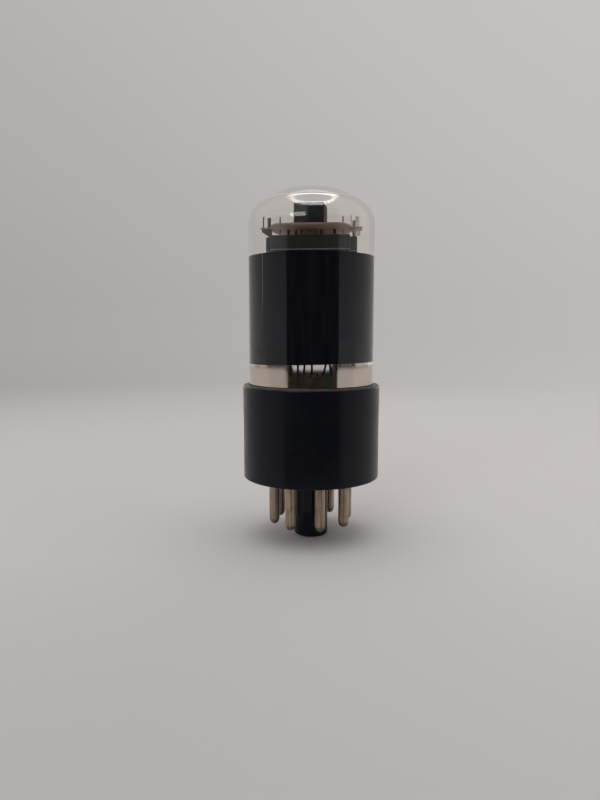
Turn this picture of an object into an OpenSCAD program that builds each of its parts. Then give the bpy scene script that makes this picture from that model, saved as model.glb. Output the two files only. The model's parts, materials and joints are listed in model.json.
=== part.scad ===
/* [Locating post] */
// Diameter of the post under the base
post_d = 7.8; // [7:0.1:8.2]
// Length of the post, from its foot to the seating face of the base
post_len = 14; // [12:0.1:20]
// Radius of the rounded edge round the foot
post_edge = 0.7; // [0.3:0.05:1.5]
// Wall of the hollow post
post_wall = 1.4; // [0.9:0.05:1.6]
// Thickness of the closed foot of the post
post_foot = 2; // [1.2:0.1:4]
// Width of the key rib on the post
key_w = 1.9; // [1.2:0.1:2.6]
// How far the key rib stands out of the post
key_h = 1; // [0.6:0.05:1.5]
// Height of the lower end of the key rib above the foot
key_start = 4.2; // [2:0.1:8]

/* [Base shell] */
// Height of the cup from its seating face to its rim
base_h = 21.4; // [15:0.1:26]
// Wall of the cup in its lower half
base_wall = 1.25; // [0.9:0.05:2.5]
// How far the cup widens towards its rim
rim_flare = 0.08; // [0:0.02:0.3]
// Height of the widest part of the cup, below its rim
rim_band = 3.4; // [2:0.1:6]
// Height of the taper below that
rim_taper = 7; // [3:0.1:8]
// Thickness of the floor that holds the pins
base_floor = 2.4; // [1.5:0.1:4]
// Radius of the lower outside edge
base_edge = 0.3; // [0.2:0.05:1]
// Radius of the rounded outside edge of the rim
rim_edge = 0.6; // [0.2:0.05:0.8]
// Width of the inner ledge that the cement sits on
ledge_w = 1.6; // [0.8:0.1:1.8]
// Gap between the cup and the bulb
bulb_fit = 0.15; // [0.05:0.01:0.3]

/* [Contact pins] */
// Diameter of the circle that the pins stand on
pin_circle_d = 17.45; // [17:0.05:19]
// Outside diameter of a pin
pin_d = 2.36; // [2:0.02:2.6]
// Wall of the hollow pin
pin_wall = 0.4; // [0.35:0.05:0.5]
// Width of the shoulder that stops a pin under the floor, above which it is thinner
pin_shoulder = 0.2; // [0.17:0.01:0.25]
// How far the pins reach below the seating face, solder included
pin_len = 11.15; // [9:0.05:12]
// Diameter of the collar that holds a pin on the floor
collar_d = 3.4; // [3:0.1:4]
// Thickness of that collar
collar_h = 0.5; // [0.3:0.05:1]
// How far a pin stands above its collar inside the base
pin_stand = 1; // [0.5:0.1:1.5]
// Height of the rounded solder bead at a pin's end
solder_h = 1.1; // [0.6:0.05:1.6]
// How far the solder fills the pin above its bead
solder_plug = 0.6; // [0.3:0.05:2]

/* [Glass] */
// Outside diameter of the bulb
bulb_d = 28.4; // [28:0.1:36]
// Thickness of the glass
glass_wall = 0.95; // [0.7:0.05:1.2]
// Radius of the turned-in lower edge of the bulb
lower_curve = 4; // [3:0.1:5]
// Height of the dome above the straight wall
dome_h = 8.5; // [8:0.1:13]
// Radius of the shoulder between wall and dome
shoulder_r = 6.4; // [5:0.1:7.5]
// Height of the seal above the floor of the base
seal_gap = 4.6; // [4:0.1:8]
// Outside diameter of the stem tube
stem_d = 14.8; // [14:0.1:16]
// Length of the straight stem tube
stem_tube_h = 2; // [1:0.1:5]
// Height of the domed end of the stem tube
stem_dome_h = 2.6; // [1.8:0.1:4]
// Width of the flat press
press_w = 14; // [13:0.1:15]
// Thickness of the press
press_t = 3.2; // [2.4:0.1:4]
// Height of the press
press_h = 8; // [6:0.1:10]
// Outside diameter of the sealed pumping tube
exhaust_d = 2.8; // [2.2:0.1:3]
// Wall of the pumping tube
exhaust_wall = 0.35; // [0.25:0.05:0.5]
// Height of the pumping tube's tip above the inside of the post
exhaust_lift = 6; // [1:0.1:8]

/* [Coatings] */
// Thickness that the two coatings are drawn with
film_t = 0.15; // [0.1:0.01:0.3]
// Height of the black band
band_h = 23.7; // [18:0.1:30]
// Depth of the top of the black band below the top mica
band_drop = 6.5; // [3:0.05:9]
// Slope of the band's lower edge, in degrees
band_tilt = 1.1; // [0:0.1:3]
// Clear strip between the band and the silver film
clear_strip = 0.4; // [0.2:0.1:3]

/* [Electrodes] */
// Turn of the electrodes against the key, in degrees
mount_turn = 4.1; // [-45:0.1:45]
// How far the cathodes and the control grid stand off the middle, towards +X
core_x = -0.6; // [-0.8:0.05:0.8]
// Height of the lowest mica above the press
lead_rise = 9.6; // [9:0.05:12]
// Distance between the two micas of the rectifier
rectifier_h = 6.05; // [5.5:0.05:14]
// Distance between the two units
unit_gap = 2.6; // [2:0.1:4]
// Distance between the two micas of the pentode
pentode_h = 17.05; // [12:0.05:30]
// Height of the bulb's top above the top mica
dome_room = 8.85; // [8.5:0.05:14]
// Width of the plate over its flanges
plate_w = 20.6; // [20.3:0.1:21]
// Width of the plate's box
plate_box_w = 17.5; // [17:0.1:18]
// Depth of the plate's box
plate_box_d = 8.4; // [7:0.1:10]
// Thickness of the plate's sheet
plate_t = 0.25; // [0.15:0.01:0.35]
// Gap between the plate's upper edge and the top mica
plate_top_gap = 2.05; // [1:0.05:4]
// Gap between the plate's lower edge and its mica
plate_low_gap = 1.4; // [0.8:0.1:3]
// Distance of the plate rods from the middle
rod_x = 9.6; // [9.4:0.05:9.8]
// Diameter of the plate rods
rod_d = 0.8; // [0.5:0.05:1]
// How far the plate rods reach below the lowest mica
rod_drop = 6.35; // [5:0.05:8]
// Distance of the beam plates from the middle
beam_x = 7.1; // [6.8:0.05:7.4]
// Distance of the screen grid's rods from the middle
screen_x = 5.2; // [5:0.05:5.4]
// Distance of the control grid's rods from the middle
control_x = 2.85; // [2.85:0.01:3.1]
// Diameter of the grid rods
grid_rod_d = 0.7; // [0.4:0.05:0.8]
// Half depth of the screen grid's winding
screen_y = 1.9; // [1.7:0.05:2.2]
// Half depth of the control grid's winding
control_y = 1.15; // [1.15:0.01:1.3]
// Diameter that the grid wire is drawn with
grid_wire_d = 0.2; // [0.1:0.02:0.24]
// Spacing of the grid turns
grid_pitch = 0.8; // [0.7:0.05:1.5]
// Width of the pentode's flat cathode
cathode_w = 4.2; // [3:0.1:4.4]
// Depth of the pentode's flat cathode
cathode_d = 1.5; // [1.2:0.05:1.6]
// Diameter of the rectifier's round cathode
rectifier_cathode_d = 2.4; // [2:0.1:3]
// Diameter of the rectifier's plate
rectifier_plate_d = 4.6; // [4:0.1:4.8]
// Wall of the cathode sleeves
sleeve_t = 0.12; // [0.08:0.01:0.15]
// Diameter of the coated heater wire
heater_d = 0.4; // [0.2:0.05:0.5]
// Half spacing of the heater's legs
heater_leg = 0.5; // [0.45:0.01:0.55]
// Thickness of the micas
mica_t = 0.25; // [0.15:0.01:0.4]
// Half width of the mica
mica_a = 9.2; // [9:0.1:10.5]
// Half depth of the mica
mica_b = 6.2; // [5.5:0.1:8]
// Length of the mica's rounded ends
mica_end = 3; // [1.5:0.1:6]
// Height of the black radiator on the control grid
radiator_h = 5.35; // [3:0.05:5.5]
// Depth of the radiator's wings
radiator_d = 2.4; // [1.5:0.1:4]
// How far the radiator's right wing leans out
radiator_splay = 0.75; // [0:0.05:1.5]

/* [Leads] */
// Diameter of the lead wires
lead_d = 0.5; // [0.3:0.05:0.6]
// Distance of the first lead in the press from the middle
lead_first = 1.85; // [1.75:0.05:2]
// Spacing of the leads in the press
lead_pitch = 1.25; // [1:0.05:1.4]

/* [Clearances] */
// Gap between pieces that are welded or fused together
weld_gap = 0.02; // [0.01:0.01:0.05]
// Gap round anything that passes through a mica or the floor
hole_fit = 0.04; // [0.02:0.01:0.1]
// Gap between a grid's winding and its rods
winding_gap = 0.04; // [0.03:0.01:0.06]
// Gap between the cement and what it holds
cement_gap = 0.03; // [0.01:0.01:0.05]

/* [Hidden] */
$fn = 96;
arc_steps = 16;
wire_sides = 6;
bend_steps = 9;
pin_count = 8;
nudge = 0.5;

post_r = post_d / 2;
post_bore_r = post_r - post_wall;
pin_r = pin_d / 2;
pin_bore_r = pin_r - pin_wall;
shank_r = pin_r - pin_shoulder;
bulb_r = bulb_d / 2;
bulb_in_r = bulb_r - glass_wall;
base_bore_r = bulb_r + bulb_fit;
base_r = base_bore_r + base_wall;
lead_r = lead_d / 2;
rod_r = rod_d / 2;
grid_rod_r = grid_rod_d / 2;
grid_wire_r = grid_wire_d / 2;
heater_r = heater_d / 2;
beam_wire_r = 0.17;
beam_t = 0.2;
beam_y = 2.7;
beam_return = 1.2;
beam_trim = 0.5;

// Heights, stacked from the foot upwards
seat_z = post_len;
rim_z = seat_z + base_h;
floor_z = seat_z + base_floor;
pin_tip_z = seat_z - pin_len;
pin_low_z = pin_tip_z + solder_h;
pin_top_z = floor_z + collar_h + pin_stand;
seal_z = floor_z + seal_gap;
ledge_drop = 0.7;
ledge_z = seal_z - ledge_drop;
ledge_r = base_bore_r - ledge_w;
seal_r = bulb_r - lower_curve;
stem_r = stem_d / 2;
stem_bore_r = stem_r - glass_wall;
flare_r = seal_r - stem_bore_r;
stem_z = seal_z + flare_r;
stem_dome_z = stem_z + stem_tube_h;
press_sink = 0.5;
press_z = stem_dome_z + press_sink;
press_top_z = press_z + press_h;
vent_r = 0.6;
vent_rise = 3.4;
vent_z = press_z + vent_rise;
exhaust_r = exhaust_d / 2;
exhaust_z = post_foot + exhaust_lift;
exhaust_taper = 2.2;
bottom_mica_z = press_top_z + lead_rise;
rectifier_mica_z = bottom_mica_z + rectifier_h;
pentode_mica_z = rectifier_mica_z + unit_gap;
top_mica_z = pentode_mica_z + pentode_h;
bulb_top_z = top_mica_z + dome_room;
spring_z = bulb_top_z - dome_h;
band_top_z = top_mica_z - band_drop;
band_low_z = band_top_z - band_h;
mirror_top_z = band_low_z - clear_strip;
lower_curve_z = seal_z + lower_curve;
film_gap = 0.02;
film_r = bulb_in_r - film_gap;
crown_r = (pow(bulb_r - shoulder_r, 2) + pow(dome_h, 2) - pow(shoulder_r, 2)) / (2 * (dome_h - shoulder_r));
crown_z = bulb_top_z - crown_r;
shoulder_angle = atan2(spring_z - crown_z, bulb_r - shoulder_r);
cement_high_angle = -20;
cement_low_angle = -65;
cement_foot = 0.1;

// Electrode places, in the electrodes' own turned frame
plate_low_z = pentode_mica_z + plate_low_gap;
plate_top_z = top_mica_z - plate_top_gap;
plate_gap = rod_r + weld_gap;
rib_drop = 3.5;
rib_h = 0.4;
rib_proud = 0.25;
rod_stand = 1.5;
rod_top_z = top_mica_z + rod_stand;
grid_drop = 1.4;
grid_stub = 0.9;
beam_drop = 6.35;
beam_stub = 0.5;
whisker = 2.3;
sleeve_drop = 1;
sleeve_stub = 0.8;
sleeve_stand = 0.5;
cathode_stand = 0.15;
heater_drop = 1.9;
heater_top_gap = 1.2;
heater_spread = 2;
tab_w = 1.6;
tab_drop = 1.2;
tab_stand = 0.8;
tab_y = rectifier_plate_d / 2;
tab_proud = 0.02;
rectifier_gap = 0.6;
radiator_t = 0.2;
radiator_gap = 0.5;
radiator_w = control_x + grid_rod_r + weld_gap + radiator_t;
radiator_z = top_mica_z + mica_t + radiator_gap;
radiator_rod_gap = 0.6;
top_ear = 1.8;
low_ear = 1;
ear_x = rod_x + top_ear;
low_ear_x = rod_x + low_ear;
ear_y = 1.7;
spacer_t = 0.25;
spacer_y = -1;
thin_prong_top = 2.65;
thick_prong_top = 2.3;
spacer_tail = 1.95;
spacer_gap = 0.03;
spacer_out = 0.4;
spacer_in = 0.15;
spacer_left_x = -rod_x - spacer_out;
spacer_right_x = rod_x + spacer_in;
strap_t = 0.12;
strap_h = 0.6;
strap_gap = 0.15;
strap_start_x = -1.2;
strap_elbow = 0.55;
getter_place = [-3.5, 8.6];
getter_r = 2.2;
getter_h = 1;
getter_t = 0.2;
getter_drop = 1.5;
strut_low = 4.1;
strut_high = 2.9;
strut_end = 0.2;

control_turns = floor((plate_top_z - plate_low_z - 2 * beam_trim) / grid_pitch);

// What lead number i joins, in its order round the base: the place of its weld and its place in the press
cathode_weld_r = rectifier_cathode_d / 2 + lead_r + weld_gap;
cathode_weld_angle = -60;
lead_places = [
    [core_x + cathode_weld_r * cos(cathode_weld_angle), cathode_weld_r * sin(cathode_weld_angle)],
    [core_x + heater_leg, -heater_r - lead_r - weld_gap],
    [rod_x, -rod_r - lead_r - weld_gap],
    [screen_x, -grid_rod_r - lead_r - weld_gap],
    [core_x - control_x, -grid_rod_r - lead_r - weld_gap],
    [core_x, tab_y + tab_proud + lead_r + weld_gap],
    [core_x - heater_leg, -heater_r - lead_r - weld_gap],
    [-beam_x, -beam_wire_r - lead_r - weld_gap]
];
lead_slots = [2, 1, 4, 3, -2, -3, -1, -4];
// Places of the leads above the press and at the foot of the band, from the leftmost slot to the rightmost
lead_low_x = [-4.75, -3.05, -1.7, 0.2, 2.8, 4.7, 5.85, 6.6];
lead_high_x = [-4.75, -3.1, -1.45, 0.15, 3.55, 4.25, 5.85, 6.6];
lead_high_y = [0, 0, 0, 0, 0.1, -0.75, 0, 0];
lead_low_rise = 2.3;
lead_weld = 0.9;
lead_mica_gap = 0.4;
lead_top_z = bottom_mica_z - lead_mica_gap;
lead_clear = 0.3;
lead_out = 2.2;
lead_in = 5.5;

phenolic = "#17181b";
nickel = "#b3a793";
solder = "#8d8b84";
cement_colour = "#b9a482";
clear_glass = [0.85, 0.9, 0.9, 0.3];
carbon = "#1d1e24";
silver_film = "#cfc3b8";
mica_colour = "#a98a6e";
carbonised = "#4b4e46";
copper = "#8a4a32";
lead_colour = "#6f665c";
white_coat = "#e6e2d8";

function oval_arc(centre, rx, ry, from, to) = [
    for (i = [0:arc_steps])
        let (a = from + (to - from) * i / arc_steps) centre + [rx * cos(a), ry * sin(a)]
];

function arc(centre, r, from, to) = oval_arc(centre, r, r, from, to);

// A slot-shaped outline, half_w by half_d to its outside
function slot(half_w, half_d) = concat(
    arc([half_w - half_d, 0], half_d, -90, 90),
    arc([half_d - half_w, 0], half_d, 90, 270)
);

function bezier(p, q, r, s, t) =
    pow(1 - t, 3) * p + 3 * t * pow(1 - t, 2) * q + 3 * t * t * (1 - t) * r + t * t * t * s;

function bend(p, q, r, s) = [for (i = [0:bend_steps]) bezier(p, q, r, s, i / bend_steps)];

function unit(v) = v / norm(v);

function heading(path, i) = unit(path[min(i + 1, len(path) - 1)] - path[max(i - 1, 0)]);

function square_to(v, t) = unit(v - (v * t) * t);

// One normal for each point of a path, carried along it without twist
function normals(path) = [
    for (i = 0, n = square_to([0.8, 0.55, 0.3], heading(path, 0)); i < len(path);
         i = i + 1, n = i < len(path) ? square_to(n, heading(path, i)) : n) n
];

function turned(p) = [
    p[0] * cos(mount_turn) - p[1] * sin(mount_turn),
    p[0] * sin(mount_turn) + p[1] * cos(mount_turn)
];

function at(p, z) = [p[0], p[1], z];

// The key points to -Y, and the first pin stands next to it
function pin_angle(i) = -90 + (i - 0.5) * 360 / pin_count;

function pin_place(i) = pin_circle_d / 2 * [cos(pin_angle(i)), sin(pin_angle(i))];

function slot_x(k) = sign(k) * (lead_first + (abs(k) - 1) * lead_pitch);

// The way of lead i: up its pin, in to the press, up through it, and over to its electrode behind the band
function lead_path(i) = let (
    foot = pin_place(i),
    hole = turned([slot_x(lead_slots[i - 1]), 0]),
    row = lead_slots[i - 1] + (lead_slots[i - 1] < 0 ? 4 : 3),
    low = turned([lead_low_x[row], 0]),
    high = turned([lead_high_x[row], lead_high_y[row]]),
    end = turned(lead_places[i - 1]),
    out_z = pin_top_z + lead_clear,
    in_z = press_z - lead_clear,
    low_z = press_top_z + lead_low_rise,
    up_z = band_low_z,
    weld_z = lead_top_z - lead_weld,
    half_rise = (weld_z - up_z) / 2
) concat(
    [at(foot, pin_low_z + solder_plug + weld_gap)],
    bend(at(foot, out_z), at(foot, out_z + lead_out), at(hole, in_z - lead_in), at(hole, in_z)),
    bend(at(hole, press_top_z), at(hole, low_z - lead_low_rise / 2), at(low, low_z - lead_low_rise / 2), at(low, low_z)),
    bend(at(high, up_z), at(high, up_z + half_rise), at(end, weld_z - half_rise), at(end, weld_z)),
    [at(end, lead_top_z)]
);

// One turn of a grid: two straight sides with a round end at each rod
function grid_turn(half_w, half_d) = [
    for (side = [0, 180], a = [-90:45:90])
        let (c = half_w - half_d) [cos(side) * c + half_d * cos(a + side), half_d * sin(a + side)]
];

function grid_path(half_w, half_d, z) = let (turn = grid_turn(half_w, half_d), n = len(turn)) [
    for (k = [0:control_turns - 1], i = [0:n - 1]) at(turn[i], z + (k + i / n) * grid_pitch)
];

// The least distance between points of a path that are half a turn or more apart
function own_gap(path, half_turn, d) = min([
    for (i = [0:len(path) - half_turn - 1]) min([
        for (j = [i + half_turn:min(len(path) - 1, i + 3 * half_turn)]) norm(path[i] - path[j])
    ])
]) - d;

grid_reach = grid_rod_r + winding_gap + grid_wire_r;
grid_low_z = plate_low_z + beam_trim;
grid_half_turn = 5;
control_path = grid_path(control_x + grid_reach, control_y, grid_low_z);
screen_path = grid_path(screen_x + grid_reach, screen_y, grid_low_z);
echo(control_grid_gap = own_gap(control_path, grid_half_turn, grid_wire_d));
echo(screen_grid_gap = own_gap(screen_path, grid_half_turn, grid_wire_d));

// The heater: up through the rectifier, twice up and down inside the pentode's cathode, and back
heater_low_z = bottom_mica_z - heater_drop;
heater_in_z = pentode_mica_z + sleeve_stub;
heater_fold_z = top_mica_z - heater_top_gap - heater_leg;
heater_dip_z = heater_in_z + heater_spread + heater_leg;
heater_mid_z = heater_in_z + heater_spread / 2;
heater_out_z = heater_in_z + heater_spread;
function heater_side(s) = let (near = s * heater_leg, far = 3 * near) concat(
    [[near, 0, heater_low_z]],
    bend([near, 0, heater_in_z], [near, 0, heater_mid_z], [far, 0, heater_mid_z], [far, 0, heater_out_z]),
    [for (a = [0:30:180]) [s * heater_leg * (2 + cos(a)), 0, heater_fold_z + heater_leg * sin(a)]]
);
heater_right = heater_side(1);
heater_path = concat(
    heater_side(-1),
    [for (a = [180:30:360]) [heater_leg * cos(a), 0, heater_dip_z + heater_leg * sin(a)]],
    [for (i = [len(heater_right) - 1:-1:0]) heater_right[i]]
);

module wire(path, r) {
    n = normals(path);
    last = len(path) - 1;
    rings = [
        for (i = [0:last], k = [0:wire_sides - 1])
            let (a = 360 * k / wire_sides, b = cross(heading(path, i), n[i]))
                path[i] + r * (cos(a) * n[i] + sin(a) * b)
    ];
    function ring(i, k) = i * wire_sides + k % wire_sides;
    sides = [
        for (i = [0:last - 1], k = [0:wire_sides - 1], half = [0, 1])
            half == 0
                ? [ring(i, k), ring(i + 1, k), ring(i + 1, k + 1)]
                : [ring(i, k), ring(i + 1, k + 1), ring(i, k + 1)]
    ];
    ends = [
        for (k = [1:wire_sides - 2], end = [0, 1])
            end == 0 ? [0, k, k + 1] : [ring(last, 0), ring(last, k + 1), ring(last, k)]
    ];
    polyhedron(rings, concat(sides, ends));
}

module bar(place, r, from, to) {
    translate(at(place, from)) cylinder(r = r, h = to - from);
}

module in_mount() {
    rotate(mount_turn) children();
}

module in_core() {
    in_mount() translate([core_x, 0, 0]) children();
}

module base_shell() {
    key_root = 0.4;
    key_slope = 2;
    color(phenolic) difference() {
        union() {
            rotate_extrude() polygon(concat(
                [[0, 0]],
                arc([post_r - post_edge, post_edge], post_edge, -90, 0),
                [[post_r, seat_z]],
                arc([base_r - base_edge, seat_z + base_edge], base_edge, -90, 0),
                [[base_r, rim_z - rim_band - rim_taper], [base_r + rim_flare, rim_z - rim_band]],
                arc([base_r + rim_flare - rim_edge, rim_z - rim_edge], rim_edge, 0, 90),
                [[base_bore_r, rim_z], [base_bore_r, ledge_z], [ledge_r, ledge_z], [ledge_r, floor_z]],
                [[post_bore_r, floor_z], [post_bore_r, post_foot], [0, post_foot]]
            ));
            translate([key_w / 2, 0, 0]) rotate([90, 0, -90]) linear_extrude(key_w) polygon([
                [post_r - key_root, key_start - key_slope * key_root],
                [post_r + key_h, key_start + key_slope * key_h],
                [post_r + key_h, seat_z + nudge],
                [post_r - key_root, seat_z + nudge]
            ]);
        }
        for (i = [1:pin_count]) {
            bar(pin_place(i), shank_r + hole_fit, seat_z - nudge, floor_z + nudge);
            translate(at(pin_place(i), seat_z - nudge))
                cylinder(r1 = pin_r + hole_fit + nudge, r2 = shank_r + hole_fit, h = nudge + pin_shoulder);
        }
    }
}

module base_pin(i) {
    color(nickel) translate(pin_place(i)) rotate_extrude() polygon([
        [pin_bore_r, pin_low_z],
        [pin_r, pin_low_z],
        [pin_r, seat_z - weld_gap],
        [shank_r, seat_z - weld_gap],
        [shank_r, floor_z],
        [collar_d / 2, floor_z],
        [collar_d / 2, floor_z + collar_h],
        [shank_r, floor_z + collar_h],
        [shank_r, pin_top_z],
        [pin_bore_r, pin_top_z]
    ]);
}

module solder_tips() {
    color(solder) for (i = [1:pin_count]) translate(pin_place(i)) rotate_extrude() polygon(concat(
        oval_arc([0, pin_low_z - weld_gap], pin_r, solder_h - weld_gap, -90, 0),
        [[pin_bore_r - weld_gap, pin_low_z - weld_gap]],
        [[pin_bore_r - weld_gap, pin_low_z + solder_plug], [0, pin_low_z + solder_plug]]
    ));
}

module basing_cement() {
    cup_r = base_bore_r - cement_gap;
    curve_r = lower_curve + cement_gap;
    high_z = lower_curve_z + curve_r * sin(cement_high_angle);
    color(cement_colour) rotate_extrude() polygon(concat(
        [[ledge_r + cement_foot, ledge_z], [cup_r, ledge_z], [cup_r, high_z]],
        arc([seal_r, lower_curve_z], curve_r, cement_high_angle, cement_low_angle)
    ));
}

module glass_bulb() {
    color(clear_glass) rotate_extrude() polygon(concat(
        arc([seal_r, lower_curve_z], lower_curve, -90, 0),
        arc([bulb_r - shoulder_r, spring_z], shoulder_r, 0, shoulder_angle),
        arc([0, crown_z], crown_r, shoulder_angle, 90),
        arc([0, crown_z], crown_r - glass_wall, 90, shoulder_angle),
        arc([bulb_r - shoulder_r, spring_z], shoulder_r - glass_wall, shoulder_angle, 0),
        arc([seal_r, lower_curve_z], lower_curve - glass_wall, 0, -90)
    ));
}

module glass_stem() {
    edge_r = seal_r - weld_gap;
    flare_from = -92;
    color(clear_glass) difference() {
        union() {
            rotate_extrude() polygon(concat(
                [[edge_r, seal_z]],
                arc([seal_r, stem_z], flare_r, flare_from, -180),
                oval_arc([0, stem_dome_z], stem_bore_r, stem_dome_h - glass_wall, 0, 90),
                oval_arc([0, stem_dome_z], stem_r, stem_dome_h, 90, 0),
                arc([seal_r, stem_z], flare_r - glass_wall, -180, flare_from),
                [[edge_r, seal_z + glass_wall]]
            ));
            in_mount() translate([0, 0, press_z]) linear_extrude(press_h)
                polygon(slot(press_w / 2, press_t / 2));
        }
        in_mount() {
            for (k = lead_slots) bar([slot_x(k), 0], lead_r + weld_gap, press_z - nudge, press_top_z + nudge);
            bar([0, 0], vent_r, press_z - nudge, vent_z);
            translate([0, 0, vent_z]) rotate([90, 0, 0]) cylinder(r = vent_r, h = press_t);
        }
    }
}

module exhaust_tube() {
    tip_wall = 1.2;
    bore_r = exhaust_r - exhaust_wall;
    taper_z = exhaust_z + exhaust_taper;
    color(clear_glass) rotate_extrude() polygon(concat(
        oval_arc([0, taper_z], exhaust_r, exhaust_taper, -90, 0),
        [[exhaust_r, press_z], [bore_r, press_z], [bore_r, taper_z], [0, exhaust_z + tip_wall]]
    ));
}

module film(from, to) {
    translate([0, 0, from]) rotate_extrude() translate([film_r - film_t, 0]) square([film_t, to - from]);
}

module carbon_band() {
    color(carbon) difference() {
        film(band_low_z - nudge, band_top_z);
        translate([0, 0, band_low_z]) rotate([0, -band_tilt, 0]) translate([-bulb_r, -bulb_r, -bulb_r])
            cube([bulb_d, bulb_d, bulb_r]);
    }
}

module getter_mirror() {
    color(silver_film) film(lower_curve_z, mirror_top_z);
}

module lead(i) {
    color(lead_colour) wire(lead_path(i), lead_r);
}

module mica_blank(z, ear) {
    translate([0, 0, z]) linear_extrude(mica_t) union() {
        polygon(concat(
            oval_arc([mica_a - mica_end, 0], mica_end, mica_b, -90, 90),
            oval_arc([mica_end - mica_a, 0], mica_end, mica_b, 90, 270)
        ));
        square([2 * ear, 2 * ear_y], center = true);
    }
}

// A hole through every mica at once, for a round piece of radius r
module mica_hole(x, r, y = 0) {
    bar([x, y], r + hole_fit, bottom_mica_z - nudge, top_mica_z + mica_t + nudge);
}

module rod_holes() {
    for (s = [-1, 1]) mica_hole(s * rod_x, rod_r);
}

module pentode_holes() {
    rod_holes();
    for (s = [-1, 1]) {
        mica_hole(s * beam_x, beam_wire_r);
        mica_hole(s * screen_x, grid_rod_r);
        mica_hole(core_x + s * control_x, grid_rod_r);
    }
    translate([core_x, 0, pentode_mica_z - nudge]) linear_extrude(pentode_h + mica_t + 2 * nudge)
        polygon(slot(cathode_w / 2 + hole_fit, cathode_d / 2 + hole_fit));
}

module rectifier_holes() {
    rod_holes();
    mica_hole(-beam_x, beam_wire_r);
    mica_hole(screen_x, grid_rod_r);
    mica_hole(core_x - control_x, grid_rod_r);
    mica_hole(core_x, rectifier_cathode_d / 2);
    for (s = [-1, 1]) translate([core_x, 0, bottom_mica_z - nudge])
        rectifier_tab(s, rectifier_h + mica_t + 2 * nudge, hole_fit);
}

module rectifier_tab(s, h, room) {
    y = tab_y + tab_proud - plate_t / 2;
    translate([0, s * y, h / 2]) cube([tab_w + 2 * room, plate_t + 2 * room, h], center = true);
}

module bottom_mica() {
    color(mica_colour) in_mount() difference() {
        mica_blank(bottom_mica_z, low_ear_x);
        rectifier_holes();
    }
}

module rectifier_top_mica() {
    color(mica_colour) in_mount() difference() {
        mica_blank(rectifier_mica_z, low_ear_x);
        rectifier_holes();
    }
}

module pentode_bottom_mica() {
    color(mica_colour) in_mount() difference() {
        mica_blank(pentode_mica_z, low_ear_x);
        pentode_holes();
    }
}

module top_mica() {
    color(mica_colour) in_mount() difference() {
        mica_blank(top_mica_z, ear_x);
        pentode_holes();
        for (x = [spacer_left_x, spacer_right_x], prong = spacer_prongs) {
            w = prong[1] - prong[0];
            translate([x + prong[0] + w / 2, spacer_y, top_mica_z])
                cube([w + 2 * hole_fit, spacer_t + 2 * hole_fit, 2 * nudge], center = true);
        }
    }
}

module plate_half(side) {
    flange_x = plate_w / 2;
    box_x = plate_box_w / 2;
    box_y = plate_box_d / 2;
    flange_y = plate_gap + plate_t;
    color(carbonised) in_mount() mirror([0, side, 0]) {
        translate([0, 0, plate_low_z]) linear_extrude(plate_top_z - plate_low_z) polygon([
            [-flange_x, -flange_y], [-box_x, -flange_y], [-box_x, -box_y],
            [box_x, -box_y], [box_x, -flange_y], [flange_x, -flange_y],
            [flange_x, -plate_gap], [box_x - plate_t, -plate_gap], [box_x - plate_t, plate_t - box_y],
            [plate_t - box_x, plate_t - box_y], [plate_t - box_x, -plate_gap], [-flange_x, -plate_gap]
        ]);
        translate([-box_x + nudge, -box_y - rib_proud, plate_top_z - rib_drop])
            cube([2 * (box_x - nudge), rib_proud + plate_t / 2, rib_h]);
    }
}

module plate_front() {
    plate_half(0);
}

module plate_rear() {
    plate_half(1);
}

module plate_rod_left() {
    color(nickel) in_mount() bar([-rod_x, 0], rod_r, bottom_mica_z - rod_drop, rod_top_z);
}

module plate_rod_right() {
    color(nickel) in_mount() bar([rod_x, 0], rod_r, bottom_mica_z - rod_drop, rod_top_z);
}

// One rod of each pair goes on down to its lead, and the other ends under the pentode
module control_grid_rods() {
    top = radiator_z + radiator_h - radiator_rod_gap;
    color(copper) in_core() {
        bar([-control_x, 0], grid_rod_r, bottom_mica_z - grid_drop, top);
        bar([control_x, 0], grid_rod_r, pentode_mica_z - grid_stub, top);
    }
}

module screen_grid_rods() {
    top = top_mica_z + mica_t + sleeve_stand;
    color(copper) in_mount() {
        bar([screen_x, 0], grid_rod_r, bottom_mica_z - grid_drop, top);
        bar([-screen_x, 0], grid_rod_r, pentode_mica_z - grid_stub, top);
    }
}

module control_grid_winding() {
    color(copper) in_core() wire(control_path, grid_wire_r);
}

module screen_grid_winding() {
    color(nickel) in_mount() wire(screen_path, grid_wire_r);
}

module beam_plate(s, from) {
    half_t = beam_t / 2;
    in_x = beam_x - half_t - beam_return;
    color(nickel) in_mount() {
        bar([s * beam_x, 0], beam_wire_r, from, top_mica_z + mica_t + whisker);
        translate([0, 0, plate_low_z + beam_trim]) linear_extrude(plate_top_z - plate_low_z - 2 * beam_trim)
            mirror([s < 0 ? 1 : 0, 0, 0]) polygon([
                [in_x, -beam_y], [beam_x + half_t, -beam_y], [beam_x + half_t, beam_y], [in_x, beam_y],
                [in_x, beam_y - beam_t], [beam_x - half_t, beam_y - beam_t],
                [beam_x - half_t, beam_t - beam_y], [in_x, beam_t - beam_y]
            ]);
    }
}

module beam_plate_left() {
    beam_plate(-1, bottom_mica_z - beam_drop);
}

module beam_plate_right() {
    beam_plate(1, pentode_mica_z - beam_stub);
}

module pentode_cathode() {
    low = pentode_mica_z - sleeve_stub;
    high = top_mica_z + mica_t + cathode_stand;
    color(white_coat) in_core() translate([0, 0, low]) linear_extrude(high - low) difference() {
        polygon(slot(cathode_w / 2, cathode_d / 2));
        polygon(slot(cathode_w / 2 - sleeve_t, cathode_d / 2 - sleeve_t));
    }
}

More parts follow.
